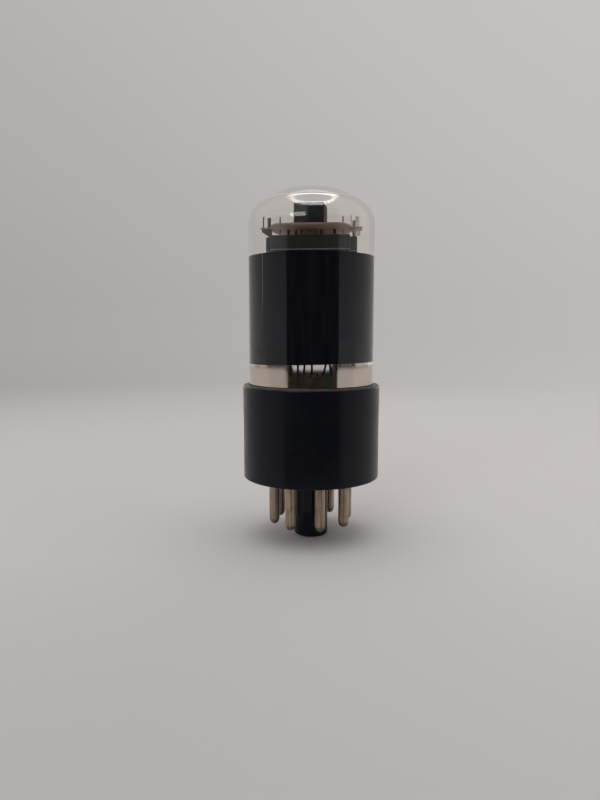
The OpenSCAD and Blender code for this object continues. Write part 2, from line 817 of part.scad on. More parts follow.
module rectifier_cathode() {
    low = bottom_mica_z - sleeve_drop;
    high = rectifier_mica_z + mica_t + sleeve_stand;
    color(white_coat) in_core() difference() {
        bar([0, 0], rectifier_cathode_d / 2, low, high);
        bar([0, 0], rectifier_cathode_d / 2 - sleeve_t, low - nudge, high + nudge);
    }
}

module rectifier_plate() {
    low = bottom_mica_z + mica_t + rectifier_gap;
    high = rectifier_mica_z - rectifier_gap;
    tab_low = bottom_mica_z - tab_drop;
    tab_high = rectifier_mica_z + mica_t + tab_stand;
    color(carbonised) in_core() difference() {
        union() {
            bar([0, 0], rectifier_plate_d / 2, low, high);
            for (s = [-1, 1]) translate([0, 0, tab_low]) rectifier_tab(s, tab_high - tab_low, 0);
        }
        bar([0, 0], rectifier_plate_d / 2 - plate_t, tab_low - nudge, tab_high + nudge);
    }
}

module heater() {
    color(white_coat) in_core() wire(heater_path, heater_r);
}

module cathode_strap() {
    y = -cathode_d / 2 - weld_gap;
    weld_y = -beam_wire_r - weld_gap;
    elbow_x = -beam_x + strap_elbow;
    z = pentode_mica_z - strap_gap - strap_h;
    color(nickel) in_mount() translate([0, 0, z]) linear_extrude(strap_h) polygon([
        [strap_start_x, y], [elbow_x, y], [-beam_x, weld_y],
        [-beam_x, weld_y - strap_t], [elbow_x, y - strap_t], [strap_start_x, y - strap_t]
    ]);
}

module grid_radiator() {
    in_x = radiator_w - radiator_t;
    in_y = -grid_rod_r - weld_gap;
    out_y = in_y - radiator_t;
    color(carbon) in_core() translate([0, 0, radiator_z]) linear_extrude(radiator_h) polygon([
        [-radiator_w, radiator_d], [-radiator_w, out_y], [radiator_w, out_y],
        [radiator_w + radiator_splay, radiator_d], [in_x + radiator_splay, radiator_d],
        [in_x, in_y], [-in_x, in_y], [-in_x, radiator_d]
    ]);
}

// A flat fork whose two prongs stand up through the mica, with a tail that runs down to the plate
thin_prong = [-0.95, -0.65];
thick_prong = [0.15, 0.95];
spacer_prongs = [thin_prong, thick_prong];
spacer_side = 0.25;
spacer_slope = 0.9;
spacer_tail_w = 0.7;

module bulb_spacer(x) {
    left = thin_prong[0] - spacer_side;
    right = thick_prong[1] + spacer_side;
    color(mica_colour) in_mount() translate([x, spacer_y + spacer_t / 2, top_mica_z]) rotate([90, 0, 0])
        linear_extrude(spacer_t) polygon([
            [left, -spacer_gap],
            [thin_prong[0], -spacer_gap], [thin_prong[0], thin_prong_top],
            [thin_prong[1], thin_prong_top], [thin_prong[1], -spacer_gap],
            [thick_prong[0], -spacer_gap], [thick_prong[0], thick_prong_top],
            [thick_prong[1], thick_prong_top], [thick_prong[1], -spacer_gap],
            [right, -spacer_gap],
            [right, -spacer_tail], [right - spacer_tail_w, -spacer_tail], [left, -spacer_slope]
        ]);
}

module bulb_spacer_left() {
    bulb_spacer(spacer_left_x);
}

module bulb_spacer_right() {
    bulb_spacer(spacer_right_x);
}

// A small dish that opens downwards
module getter_cup() {
    roof_z = bottom_mica_z - getter_drop;
    color(nickel) in_mount() translate(at(getter_place, roof_z)) rotate_extrude() polygon([
        [0, 0], [getter_r, 0], [getter_r, -getter_h], [getter_r - getter_t, -getter_h],
        [getter_r - getter_t, -getter_t], [0, -getter_t]
    ]);
}

module getter_strut() {
    foot = [-rod_x, rod_r + lead_r + weld_gap];
    roof_z = bottom_mica_z - getter_drop + weld_gap;
    over_z = bottom_mica_z;
    color(nickel) in_mount() wire(concat(
        [at(foot, bottom_mica_z - strut_low)],
        bend(
            at(foot, bottom_mica_z - strut_high), at(foot, over_z - nudge),
            at(getter_place, over_z), at(getter_place, roof_z + strut_end)
        ),
        [at(getter_place, roof_z)]
    ), lead_r);
}

base_shell();
for (i = [1:pin_count]) base_pin(i);
solder_tips();
basing_cement();
glass_bulb();
glass_stem();
exhaust_tube();
carbon_band();
getter_mirror();
for (i = [1:pin_count]) lead(i);
bottom_mica();
rectifier_top_mica();
pentode_bottom_mica();
top_mica();
plate_front();
plate_rear();
plate_rod_left();
plate_rod_right();
control_grid_rods();
control_grid_winding();
screen_grid_rods();
screen_grid_winding();
beam_plate_left();
beam_plate_right();
pentode_cathode();
rectifier_cathode();
rectifier_plate();
heater();
cathode_strap();
grid_radiator();
bulb_spacer_left();
bulb_spacer_right();
getter_cup();
getter_strut();
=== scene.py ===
import json
import math
from functools import partial

import bmesh
import bpy
from mathutils import Matrix, Vector, noise


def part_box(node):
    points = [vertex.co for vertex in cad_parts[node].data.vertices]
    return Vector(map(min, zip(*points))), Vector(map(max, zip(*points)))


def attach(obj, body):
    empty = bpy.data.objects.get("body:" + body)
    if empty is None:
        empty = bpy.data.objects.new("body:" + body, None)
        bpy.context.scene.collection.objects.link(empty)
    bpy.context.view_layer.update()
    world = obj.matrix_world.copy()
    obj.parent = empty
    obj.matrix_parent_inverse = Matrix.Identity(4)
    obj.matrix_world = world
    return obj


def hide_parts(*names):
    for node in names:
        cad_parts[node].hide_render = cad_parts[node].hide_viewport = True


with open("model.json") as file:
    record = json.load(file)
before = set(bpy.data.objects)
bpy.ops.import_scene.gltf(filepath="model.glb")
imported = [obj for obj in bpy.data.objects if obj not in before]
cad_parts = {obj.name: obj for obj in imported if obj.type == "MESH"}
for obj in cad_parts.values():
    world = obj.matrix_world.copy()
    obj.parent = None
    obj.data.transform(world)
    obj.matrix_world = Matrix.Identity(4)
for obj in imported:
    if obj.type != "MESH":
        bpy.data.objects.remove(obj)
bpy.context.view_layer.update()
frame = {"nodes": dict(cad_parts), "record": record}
mm = 0.001
mounts = {m["name"]: m for m in frame["record"]["mounts"]}
seatZ = mounts["seating_face"]["pos_m"][2]
pinRadius = mounts["contact_1"]["dims"]["r_mm"] * mm
print("frame:", len(frame["nodes"]), "nodes, seat at", seatZ)

# camera: a phone held a hand's width away, a little above the middle of the tube
cameraView = {"place": (22.96, -145.92, 47.5), "tilt": 83.85, "turn": 9.94, "lens": 28.8}
lens = bpy.data.cameras.new("camera")
lens.sensor_width = 36
lens.lens = cameraView["lens"]
lens.clip_start = 5 * mm
camera = bpy.data.objects.new("camera", lens)
camera.location = Vector(cameraView["place"]) * mm
camera.rotation_euler = (math.radians(cameraView["tilt"]), 0, math.radians(cameraView["turn"]))
bpy.context.scene.collection.objects.link(camera)
bpy.context.scene.camera = camera
bpy.context.scene.view_settings.view_transform = "Standard"
paths = bpy.context.scene.cycles  # light that runs round inside a glass wall takes many bounces to leave it
paths.max_bounces = paths.glossy_bounces = paths.transmission_bounces = 40
print("camera set")


def linear(colour):  # sRGB hex to linear RGBA
    parts = [int(colour[i:i + 2], 16) / 255 for i in (1, 3, 5)]
    return [p / 12.92 if p <= 0.04045 else ((p + 0.055) / 1.055) ** 2.4 for p in parts] + [1.0]


def perSize(size):  # texture scale for features that are size millimetres across
    return 1 / (size * mm)


def linkTo(node, links):  # a source that is a node stands for its first live output
    for socket, source in dict(links).items():
        if isinstance(source, bpy.types.Node):
            source = next(o for o in source.outputs if o.enabled)
        node.id_data.links.new(source, node.inputs[socket])


def addNode(tree, kind, links=(), values=(), **settings):  # a tuple of values fills the sockets after the first in turn
    made = tree.nodes.new("ShaderNode" + kind)
    for name, value in settings.items():
        setattr(made, name, value)
    for socket, value in values.items() if isinstance(values, dict) else enumerate(values, 1):
        made.inputs[socket].default_value = value
    linkTo(made, links)
    return made


def startMaterial(name, fixed):
    material = bpy.data.materials.new(name)
    material.use_nodes = True
    shader = material.node_tree.nodes["Principled BSDF"]
    for socket, value in fixed.items():
        shader.inputs[socket].default_value = value
    add = partial(addNode, material.node_tree)
    return material, add, shader, add("TexCoord").outputs["Object"]


def mottle(add, place, size, detail, spread, colours, distortion=0.0):  # a noise and two colours mixed by it
    pattern = add("TexNoise", {0: place}, {"Scale": perSize(size), "Detail": detail, "Distortion": distortion})
    share = add("MapRange", {0: pattern}, spread)
    first, second = map(linear, colours)
    return pattern, share, add("Mix", {0: share}, {6: first, 7: second}, data_type="RGBA")


def grain(add, pattern, rough, strength, relief, spread=(0.3, 0.7)):  # one noise as roughness and as relief
    dull = add("MapRange", {0: pattern}, (*spread, *rough))
    return dull, add("Bump", {"Height": pattern}, {"Strength": strength, "Distance": relief * mm})


# phenolic resin with wood flour, pressed in a polished mould: near black, satin gloss, faint brown flecks
def makePhenolic(rimZ):
    look = {"resin": "#11131b", "fleck": "#18181f", "dust": "#6a5f54", "fleckSize": 0.3, "peelSize": 1.4,
            "peelRelief": 0.02, "handlingSize": 7, "dustDepth": 0.5, "dustFull": 0.05, "dustSize": 1.1,
            "dustShare": (0.25, 0.95), "dustRough": 0.35, "rough": (0.2, 0.32)}
    material, add, shader, place = startMaterial("phenolicMoulding", {"IOR": 1.55, "Specular IOR Level": 0.16})
    resin = mottle(add, place, look["fleckSize"], 3, (0.52, 0.72), (look["resin"], look["fleck"]))[2]
    # dust and cement haze on the upper edge of the cup
    height = add("SeparateXYZ", {0: place}).outputs["Z"]
    rim = add("MapRange", {0: height}, (rimZ - look["dustDepth"] * mm, rimZ - look["dustFull"] * mm))
    patches = add("TexNoise", {0: place}, {"Scale": perSize(look["dustSize"]), "Detail": 4})
    patchShare = add("MapRange", {0: patches}, (0.25, 0.7, *look["dustShare"]))
    dust = add("Math", {0: rim, 1: patchShare}, operation="MULTIPLY")
    colour = add("Mix", {0: dust, 6: resin}, {7: linear(look["dust"])}, data_type="RGBA")
    handling = add("TexNoise", {0: place}, {"Scale": perSize(look["handlingSize"]), "Detail": 5})
    gloss = add("MapRange", {0: handling}, (0.3, 0.7, *look["rough"]))
    rough = add("Math", {0: dust, 2: gloss}, {1: look["dustRough"]}, operation="MULTIPLY_ADD")
    peel = add("TexNoise", {0: place}, {"Scale": perSize(look["peelSize"]), "Detail": 2})
    bump = add("Bump", {"Height": peel}, {"Strength": 0.1, "Distance": look["peelRelief"] * mm})
    linkTo(shader, {"Base Color": colour, "Roughness": rough, "Normal": bump})
    return material


# nickel-plated brass, drawn tube: warm grey metal dulled by age, with lengthwise drawing and socket marks
def makeNickelPlate():
    look = {"bright": "#bbab98", "worn": "#8e7d6b", "tarnish": "#57493d", "streakWidth": 0.16, "streakLength": 6,
            "patchSize": 2.4, "tarnishMost": 0.6, "rough": (0.3, 0.48), "relief": 0.012}
    material, add, shader, place = startMaterial("nickelPlate", {"Metallic": 1.0})
    drawn = add("Mapping", {0: place}, {"Scale": (1, 1, look["streakWidth"] / look["streakLength"])})
    streaks, _, plate = mottle(add, drawn, look["streakWidth"], 3, (0.38, 0.68), (look["bright"], look["worn"]))
    patches = add("TexNoise", {0: place}, {"Scale": perSize(look["patchSize"]), "Detail": 6})
    tarnish = add("MapRange", {0: patches}, (0.5, 0.8, 0.0, look["tarnishMost"]))
    colour = add("Mix", {0: tarnish, 6: plate}, {7: linear(look["tarnish"])}, data_type="RGBA")
    rough, bump = grain(add, streaks, look["rough"], 0.35, look["relief"])
    linkTo(shader, {"Base Color": colour, "Roughness": rough, "Normal": bump})
    return material


# tin-lead solder, dipped and left to freeze: dull grey skin with small ripples
def makeSolder():
    look = {"skin": "#93877a", "dross": "#5c544c", "rippleSize": 0.45, "rough": (0.25, 0.6), "relief": 0.05}
    material, add, shader, place = startMaterial("tinLeadSolder", {"Metallic": 0.9})
    ripples, _, colour = mottle(add, place, look["rippleSize"], 4, (0.4, 0.68), (look["skin"], look["dross"]))
    rough, bump = grain(add, ripples, look["rough"], 0.5, look["relief"], (0, 1))
    linkTo(shader, {"Base Color": colour, "Roughness": rough, "Normal": bump})
    return material


# lime glass: clear, with the slow waviness of a blown bulb or the ripple of a pressed stem
def makeGlass(name, rippleSize, ripple):
    material, add, shader, place = startMaterial(
        name, {"Base Color": linear("#fdfbf9"), "Roughness": 0.0, "IOR": 1.5, "Transmission Weight": 1.0})
    waves = add("TexNoise", {0: place}, {"Scale": perSize(rippleSize), "Detail": 1})
    linkTo(shader, {"Normal": add("Bump", {"Height": waves}, {"Strength": 1.0, "Distance": ripple * mm})})
    # light that falls on what is inside passes the wall straight
    path = add("LightPath")
    straight = add("Math", {0: path.outputs["Is Shadow Ray"], 1: path.outputs["Is Diffuse Ray"]}, operation="MAXIMUM")
    mixed = add("MixShader", {0: straight, 1: shader, 2: add("BsdfTransparent")})
    linkTo(material.node_tree.nodes["Material Output"], {"Surface": mixed})
    return material


# graphite paint, brushed on the inside of the glass and baked: dense matt black with a bluish cast
def makeCarbonCoat(scratch):
    # the glass colour is painted light, shown along the scratch
    look = {"paint": "#0b0c12", "thin": "#15171e", "glass": "#b9b2a8", "brushSize": 0.9, "brushLength": 11}
    material, add, shader, place = startMaterial("graphitePaint", {"Roughness": 0.62, "Specular IOR Level": 0.0})
    brushed = add("Mapping", {0: place}, {"Scale": (1, 1, look["brushSize"] / look["brushLength"])})
    paint = mottle(add, brushed, look["brushSize"], 4, (0.35, 0.75), (look["paint"], look["thin"]))[2]
    # one hairline scratch runs down the coat and bends off sideways at its lower end; its pale colour is painted light
    # along the scratch
    parts = add("SeparateXYZ", {0: place}).outputs
    turn = add("Math", {0: parts["Y"], 1: parts["X"]}, operation="ARCTAN2")
    depth = add("MapRange", {0: parts["Z"]}, (scratch["top"], scratch["foot"]))
    swing = add("Math", {0: depth}, {1: scratch["bend"]}, operation="POWER")
    course = add("Math", {0: swing}, {1: -scratch["swing"], 2: scratch["turn"]}, operation="MULTIPLY_ADD")
    away = add("Math", {0: turn, 1: course}, operation="SUBTRACT")
    off = add("Math", {0: away}, operation="ABSOLUTE")
    line = add("MapRange", {0: off}, (scratch["width"], scratch["width"] / 2))
    fade = add("MapRange", {0: depth}, (1.0, 0.0, scratch["footMark"], scratch["topMark"]))
    scratchLight = add("Math", {0: line, 1: fade}, operation="MULTIPLY")
    linkTo(shader, {"Base Color": add("Mix", {0: scratchLight, 6: paint}, {7: linear(look["glass"])}, data_type="RGBA")})
    return material


# barium film, flashed on cold glass: a warm silver mirror that thins to smoke and colour at its upper edge
def makeSilverFilm(lowZ, topZ):
    look = {"mirror": "#dfd3ca", "fadeDepth": 2.1, "clearDepth": 0.15, "patchSize": 3.2, "patchRise": 0.4,
            "tintSize": 1.3, "tintLength": 5.5, "middle": 0.85, "dense": 0.96, "stainTurn": 8.9, "stainEnd": 5.9,
            "stainFull": 4.3, "stainWaver": 0.6, "thinTint": 0.6, "stainTint": 0.8, "stainDrop": 1.6,
            "rearDrop": 2.1, "rearY": 10, "sideRise": 0.8,
            "tints": ((0.36, "#574269"), (0.42, "#b06058"), (0.47, "#6a6256"), (0.52, "#b8ae5c"), (0.57, "#6c665c"),
                      (0.66, "#55aa86"))}
    size = {k: v * mm for k, v in look.items() if k not in ("mirror", "tints")}
    material, add, shader, place = startMaterial("bariumFilm", {"Metallic": 0.94, "Roughness": 0.05})
    parts = add("SeparateXYZ", {0: place}).outputs
    patches = add("TexNoise", {0: place}, {"Scale": perSize(look["patchSize"]), "Detail": 3})
    shift = add("Math", {0: patches}, {1: size["patchRise"], 2: -size["patchRise"] / 2}, operation="MULTIPLY_ADD")
    # thinner and stained where it lies farthest from the getter, front and rear
    turned = add("Mapping", {0: place}, {"Rotation": (0, 0, -math.radians(look["stainTurn"]))})
    beside = add("Math", {0: add("SeparateXYZ", {0: turned}).outputs["X"]}, operation="ABSOLUTE")
    waver = size["stainWaver"]
    ragged = add("Math", {0: patches, 2: beside}, {1: 2 * waver}, operation="MULTIPLY_ADD")
    stain = add("MapRange", {0: ragged}, (size["stainEnd"] + waver, size["stainFull"] + waver),
                interpolation_type="SMOOTHSTEP")
    drop = add("MapRange", {0: parts["Y"]}, (-size["rearY"], size["rearY"], size["stainDrop"], size["rearDrop"]))
    uneven = add("Math", {0: parts["Z"], 1: shift}, operation="ADD")
    level = add("Math", {0: stain, 1: drop, 2: uneven}, operation="MULTIPLY_ADD")
    level = add("Math", {0: level}, {1: size["sideRise"]}, operation="SUBTRACT")
    fadeZ = topZ - size["fadeDepth"]
    upper = add("MapRange", {0: level}, (topZ - size["clearDepth"], fadeZ, 0.0, look["middle"]),
                interpolation_type="SMOOTHERSTEP")
    lower = add("MapRange", {0: level}, (fadeZ, lowZ, 0.0, look["dense"] - look["middle"]))
    alpha = add("Math", {0: upper, 1: lower}, operation="ADD")
    # interference tints where the film is thin
    upright = add("Mapping", {0: place}, {"Scale": (1, 1, look["tintSize"] / look["tintLength"])})
    streaks = add("TexNoise", {0: upright}, {"Scale": perSize(look["tintSize"]), "Detail": 2})
    ramp = add("ValToRGB", {0: streaks})
    stops = ramp.color_ramp.elements
    stops.remove(stops[0])
    stops[0].position, stops[0].color = look["tints"][-1][0], linear(look["tints"][-1][1])
    for position, tint in look["tints"][:-1]:
        stops.new(position).color = linear(tint)
    thin = add("MapRange", {0: alpha}, (0.2, 0.75, look["thinTint"], 0.0))
    stained = add("Math", {0: stain}, {1: look["stainTint"]}, operation="MULTIPLY")
    tinted = add("Math", {0: thin, 1: stained}, operation="MAXIMUM")
    colour = add("Mix", {0: tinted, 7: ramp}, {6: linear(look["mirror"])}, data_type="RGBA")
    linkTo(shader, {"Base Color": colour, "Alpha": alpha})
    return material


# black oxide on folded sheet: dead black where it was sprayed, rusty brown on the wing that was bent afterwards
def makeBlackened(turn, wingX):
    look = {"black": "#0d0f12", "worn": "#1b1c1e", "brown": "#5e3423", "rust": "#45261b", "patchSize": 1.1,
            "ragged": 0.25, "wingFade": 0.2, "grain": 0.12, "rough": (0.45, 0.65), "relief": 0.01}
    material, add, shader, place = startMaterial("blackenedSheet", {"Metallic": 0.2})
    turned = add("Mapping", {0: place}, {"Rotation": (0, 0, -turn)})
    along = add("SeparateXYZ", {0: turned}).outputs["X"]
    patches, share, black = mottle(add, place, look["patchSize"], 5, (0.35, 0.7), (look["black"], look["worn"]))
    brown = add("Mix", {0: share}, {6: linear(look["brown"]), 7: linear(look["rust"])}, data_type="RGBA")
    ragged = add("Math", {0: patches, 2: along}, {1: look["ragged"] * mm}, operation="MULTIPLY_ADD")
    wing = add("MapRange", {0: ragged}, (wingX * mm, (wingX + look["wingFade"]) * mm))
    colour = add("Mix", {0: wing, 6: black, 7: brown}, data_type="RGBA")
    grains = add("TexNoise", {0: place}, {"Scale": perSize(look["grain"]), "Detail": 3})
    rough, bump = grain(add, grains, look["rough"], 0.4, look["relief"])
    linkTo(shader, {"Base Color": colour, "Roughness": rough, "Normal": bump})
    return material


# split mica: thin brown sheet, glassy on its cleavage, cloudy where the layers have lifted
def makeMica(name, sheet, cloud, clearness, shine, rough, topEdgeShadeTone=None):
    look = {"cloudSize": 2.6, "flakeSize": 0.5, "flakeRelief": 0.01, "soot": "#6a5549", "paintedShadePlace": (0.0, 3.8, 0),
            "paintedShadeRadius": 6.4, "paintedShadeMost": 0.85, "topEdgeShadeMost": 0.9}
    material, add, shader, place = startMaterial(
        name, {"IOR": 1.58, "Transmission Weight": clearness, "Specular IOR Level": shine})
    clouds, _, colour = mottle(add, place, look["cloudSize"], 5, (0.35, 0.7), (sheet, cloud), 0.6)
    plan = add("VectorMath", {0: place}, {1: (1, 1, 0)}, operation="MULTIPLY")
    # painted shade: darker round a point behind the middle of the sheet, where the mount shades its underside
    away = add("VectorMath", {0: plan}, {1: Vector(look["paintedShadePlace"]) * mm}, operation="DISTANCE")
    soot = add("MapRange", {0: away}, (look["paintedShadeRadius"] * mm, look["paintedShadeRadius"] * mm / 3, 0.0, look["paintedShadeMost"]))
    colour = add("Mix", {0: soot, 6: colour}, {7: linear(look["soot"])}, data_type="RGBA")
    if topEdgeShadeTone:  # painted shade: the top and edges take a darker tone than the underside, whose paler colour is painted light
        facing = add("SeparateXYZ", {0: add("NewGeometry").outputs["True Normal"]}).outputs["Z"]
        top = add("MapRange", {0: facing}, (-0.95, -0.7, 0.0, look["topEdgeShadeMost"]))
        colour = add("Mix", {0: top, 6: colour}, {7: linear(topEdgeShadeTone)}, data_type="RGBA")
    dull = add("MapRange", {0: clouds}, {3: rough - 0.15, 4: rough + 0.2})
    flakes = add("TexVoronoi", {0: place}, {"Scale": perSize(look["flakeSize"])})
    bump = add("Bump", {"Height": flakes}, {"Strength": 0.2, "Distance": look["flakeRelief"] * mm})
    linkTo(shader, {"Base Color": colour, "Roughness": dull, "Normal": bump})
    return material


# sheet or wire with a grained skin: a base colour, a second colour in patches, and grain in roughness and relief
def makeMetal(name, base, patch, grainSize, patchSize, rough, metallic, relief, ribHighlight=None):
    material, add, shader, place = startMaterial(name, {"Metallic": metallic})
    colour = mottle(add, place, patchSize, 5, (0.38, 0.68), (base, patch))[2]
    if ribHighlight:  # a painted highlight: lighter colour along the crest of the pressed rib, where it catches light from above
        height = add("SeparateXYZ", {0: place}).outputs["Z"]
        away = add("Math", {0: height}, {1: ribHighlight["z"]}, operation="SUBTRACT")
        off = add("Math", {0: away}, operation="ABSOLUTE")
        ribHighlightShare = add("MapRange", {0: off}, (ribHighlight["outer"], ribHighlight["inner"]))
        colour = add("Mix", {0: ribHighlightShare, 6: colour}, {7: linear(ribHighlight["colour"])}, data_type="RGBA")
    grains = add("TexNoise", {0: place}, {"Scale": perSize(grainSize), "Detail": 3})
    dull, bump = grain(add, grains, (rough - 0.1, rough + 0.1), 0.4, relief)
    linkTo(shader, {"Base Color": colour, "Roughness": dull, "Normal": bump})
    return material


mergeGap = 0.001 * mm


def cadCopy(node):  # a CAD node's mesh with its loose triangles merged
    bm = bmesh.new()
    bm.from_mesh(frame["nodes"][node].data)
    bmesh.ops.remove_doubles(bm, verts=bm.verts, dist=mergeGap)
    return bm


def arc(centreR, centreZ, radius, start, end, steps=16):
    turns = [math.radians(start + (end - start) * i / steps) for i in range(steps + 1)]
    return [(centreR + radius * math.cos(t), centreZ + radius * math.sin(t)) for t in turns]


def lathe(outline, steps, centre=(0, 0)):  # spins a closed outline of radius and height pairs
    bm = bmesh.new()
    ring = [bm.verts.new((centre[0] + r, centre[1], z)) for r, z in outline]
    edges = [bm.edges.new(pair) for pair in zip(ring, ring[1:] + ring[:1])]
    bmesh.ops.spin(bm, geom=ring + edges, cent=(*centre, 0), axis=(0, 0, 1), angle=math.tau, steps=steps,
                   use_merge=True)
    bmesh.ops.remove_doubles(bm, verts=bm.verts, dist=mergeGap / 2)
    bmesh.ops.dissolve_degenerate(bm, edges=bm.edges, dist=mergeGap / 2)
    bmesh.ops.delete(bm, geom=[e for e in bm.edges if not e.link_faces], context="EDGES")
    bmesh.ops.recalc_face_normals(bm, faces=bm.faces)
    return bm


def joinTo(bm, part):  # adds one bmesh to another
    mesh = bpy.data.meshes.new("part")
    part.to_mesh(mesh)
    part.free()
    bm.from_mesh(mesh)
    bpy.data.meshes.remove(mesh)


def meshObject(name, bm):
    mesh = bpy.data.meshes.new(name)
    bm.to_mesh(mesh)
    bm.free()
    made = bpy.data.objects.new(name, mesh)
    bpy.context.scene.collection.objects.link(made)
    return made


def dressPiece(piece, material, nodes, sharp):
    piece.data.shade_smooth()
    piece.data.set_sharp_from_angle(angle=math.radians(sharp))
    piece.data.materials.clear()
    piece.data.materials.append(material)
    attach(piece, "root")
    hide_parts(*nodes)


def addPiece(name, bm, material, nodes, sharp):
    piece = meshObject(name, bm)
    dressPiece(piece, material, nodes, sharp)
    return piece


def softenEdges(piece, width=0.03, sharpest=50):
    soften = piece.modifiers.new("edge", "BEVEL")
    soften.width = width * mm
    soften.segments = 2
    soften.limit_method = "ANGLE"
    soften.angle_limit = math.radians(sharpest)


def combine(piece, tool, operation):  # a boolean that is applied at once, its tool removed and its doubles merged
    change = piece.modifiers.new("combine", "BOOLEAN")
    change.object = tool
    change.operation = operation
    change.solver = "EXACT"
    shown = piece.evaluated_get(bpy.context.evaluated_depsgraph_get())
    piece.data = bpy.data.meshes.new_from_object(shown)
    piece.modifiers.clear()
    bpy.data.objects.remove(tool)
    bm = bmesh.new()
    bm.from_mesh(piece.data)
    bmesh.ops.remove_doubles(bm, verts=bm.verts, dist=mergeGap)
    bmesh.ops.dissolve_degenerate(bm, edges=bm.edges, dist=mergeGap)
    bm.to_mesh(piece.data)
    bm.free()


def middle(node):
    low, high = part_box(node)
    return (low + high) / 2


leftRod, rightRod = middle("plate_rod_left"), middle("plate_rod_right")
mountTurn = math.atan2(rightRod.y - leftRod.y, rightRod.x - leftRod.x)
pinNodes = [f"base_pin_{i}" for i in range(1, 9)]
leadNodes = [f"lead_{i}" for i in range(1, 9)]


def turnToMount(bm):
    bmesh.ops.rotate(bm, verts=bm.verts, cent=(0, 0, 0), matrix=Matrix.Rotation(mountTurn, 3, "Z"))


pinSizes = {"wall": 0.4, "shoulder": 0.2, "collar": 1.7, "collarHeight": 0.5, "edge": 0.12, "endCurl": 0.3,
            "endDraw": 0.1, "seatGap": 0.02, "seamDepth": 0.09, "steps": 80,
            "seams": (-62, -84, 20, 75, 140, -160, 35, -66)}

# base shell with its post, key and pin holes
baseSizes = {"postRadius": 3.9, "postEdge": 0.7, "postBore": 2.5, "postFoot": 2.0, "floor": 2.4, "edge": 0.3,
             "rimEdge": 0.6, "rimFlare": 0.08, "rimBand": 3.4, "rimTaper": 7, "taperSteps": 8, "wall": 1.25,
             "ledge": 1.6, "ledgeZ": 20.3, "rootFillet": 0.35, "keyWidth": 1.9, "keyProud": 1.0, "keySunk": 0.4,
             "keyStart": 4.2, "keyEdge": 0.18, "keyOver": 0.3, "keySlope": 2, "holeFit": 0.03, "holeOver": 0.5,
             "holeSteps": 32, "steps": 160}


def buildBase():
    s = {k: v * mm for k, v in baseSizes.items() if k not in ("steps", "taperSteps", "holeSteps", "keySlope")}
    low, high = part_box("base_shell")
    rimRadius, rimZ = high.x, high.z
    radius = rimRadius - s["rimFlare"]
    bore, floorZ = radius - s["wall"], seatZ + s["floor"]
    ledge = bore - s["ledge"]
    outline = [(0, low.z)]
    outline += arc(s["postRadius"] - s["postEdge"], low.z + s["postEdge"], s["postEdge"], -90, 0)
    outline += arc(s["postRadius"] + s["rootFillet"], seatZ - s["rootFillet"], s["rootFillet"], 180, 90, 8)
    outline += arc(radius - s["edge"], seatZ + s["edge"], s["edge"], -90, 0, 10)
    bandZ = rimZ - s["rimBand"]
    for i in range(baseSizes["taperSteps"] + 1):
        share = i / baseSizes["taperSteps"]
        rise = (1 - math.cos(math.pi * share)) / 2
        outline.append((radius + rise * s["rimFlare"], bandZ - s["rimTaper"] * (1 - share)))
    outline += arc(rimRadius - s["rimEdge"], rimZ - s["rimEdge"], s["rimEdge"], 0, 90, 10)
    outline += [(bore, rimZ), (bore, s["ledgeZ"]), (ledge, s["ledgeZ"]), (ledge, floorZ)]
    outline += [(s["postBore"], floorZ), (s["postBore"], s["postFoot"]), (0, s["postFoot"])]
    piece = meshObject("baseShell", lathe(outline, baseSizes["steps"]))
    # the key: a bevelled bar sunk in the post, with a sloping lower end
    key = bmesh.new()
    bmesh.ops.create_cube(key, size=1)
    keyDepth, keyTop = s["keyProud"] + s["keySunk"], seatZ + s["keyOver"]
    keyHeight = keyTop - s["keyStart"] + s["keySunk"] * baseSizes["keySlope"]
    bmesh.ops.scale(key, vec=(s["keyWidth"], keyDepth, keyHeight), verts=key.verts)
    outY = -(s["postRadius"] + s["keyProud"])
    bmesh.ops.translate(key, vec=(0, outY + keyDepth / 2, keyTop - keyHeight / 2), verts=key.verts)
    front = [v for v in key.verts if v.co.y < outY + keyDepth / 2]
    for v in front:
        if v.co.z < keyTop - keyHeight / 2:
            v.co.z += keyDepth * baseSizes["keySlope"]
    sides = [e for e in key.edges if all(v in front for v in e.verts)]
    bmesh.ops.bevel(key, geom=sides, offset=s["keyEdge"], segments=4, profile=0.5, affect="EDGES", material=-1)
    combine(piece, meshObject("key", key), "UNION")
    # countersunk pin holes
    shoulder = pinSizes["shoulder"] * mm
    holeRadius = pinRadius - shoulder + s["holeFit"]
    holeTop = floorZ + s["holeOver"]
    outline = [(0, seatZ - shoulder), (holeRadius + 2 * shoulder, seatZ - shoulder), (holeRadius, seatZ + shoulder),
               (holeRadius, holeTop), (0, holeTop)]
    holes = bmesh.new()
    for node in pinNodes:
        joinTo(holes, lathe(outline, baseSizes["holeSteps"], middle(node).xy))
    combine(piece, meshObject("holes", holes), "DIFFERENCE")
    dressPiece(piece, makePhenolic(rimZ), ["base_shell"], 40)


buildBase()
print("base shell built")


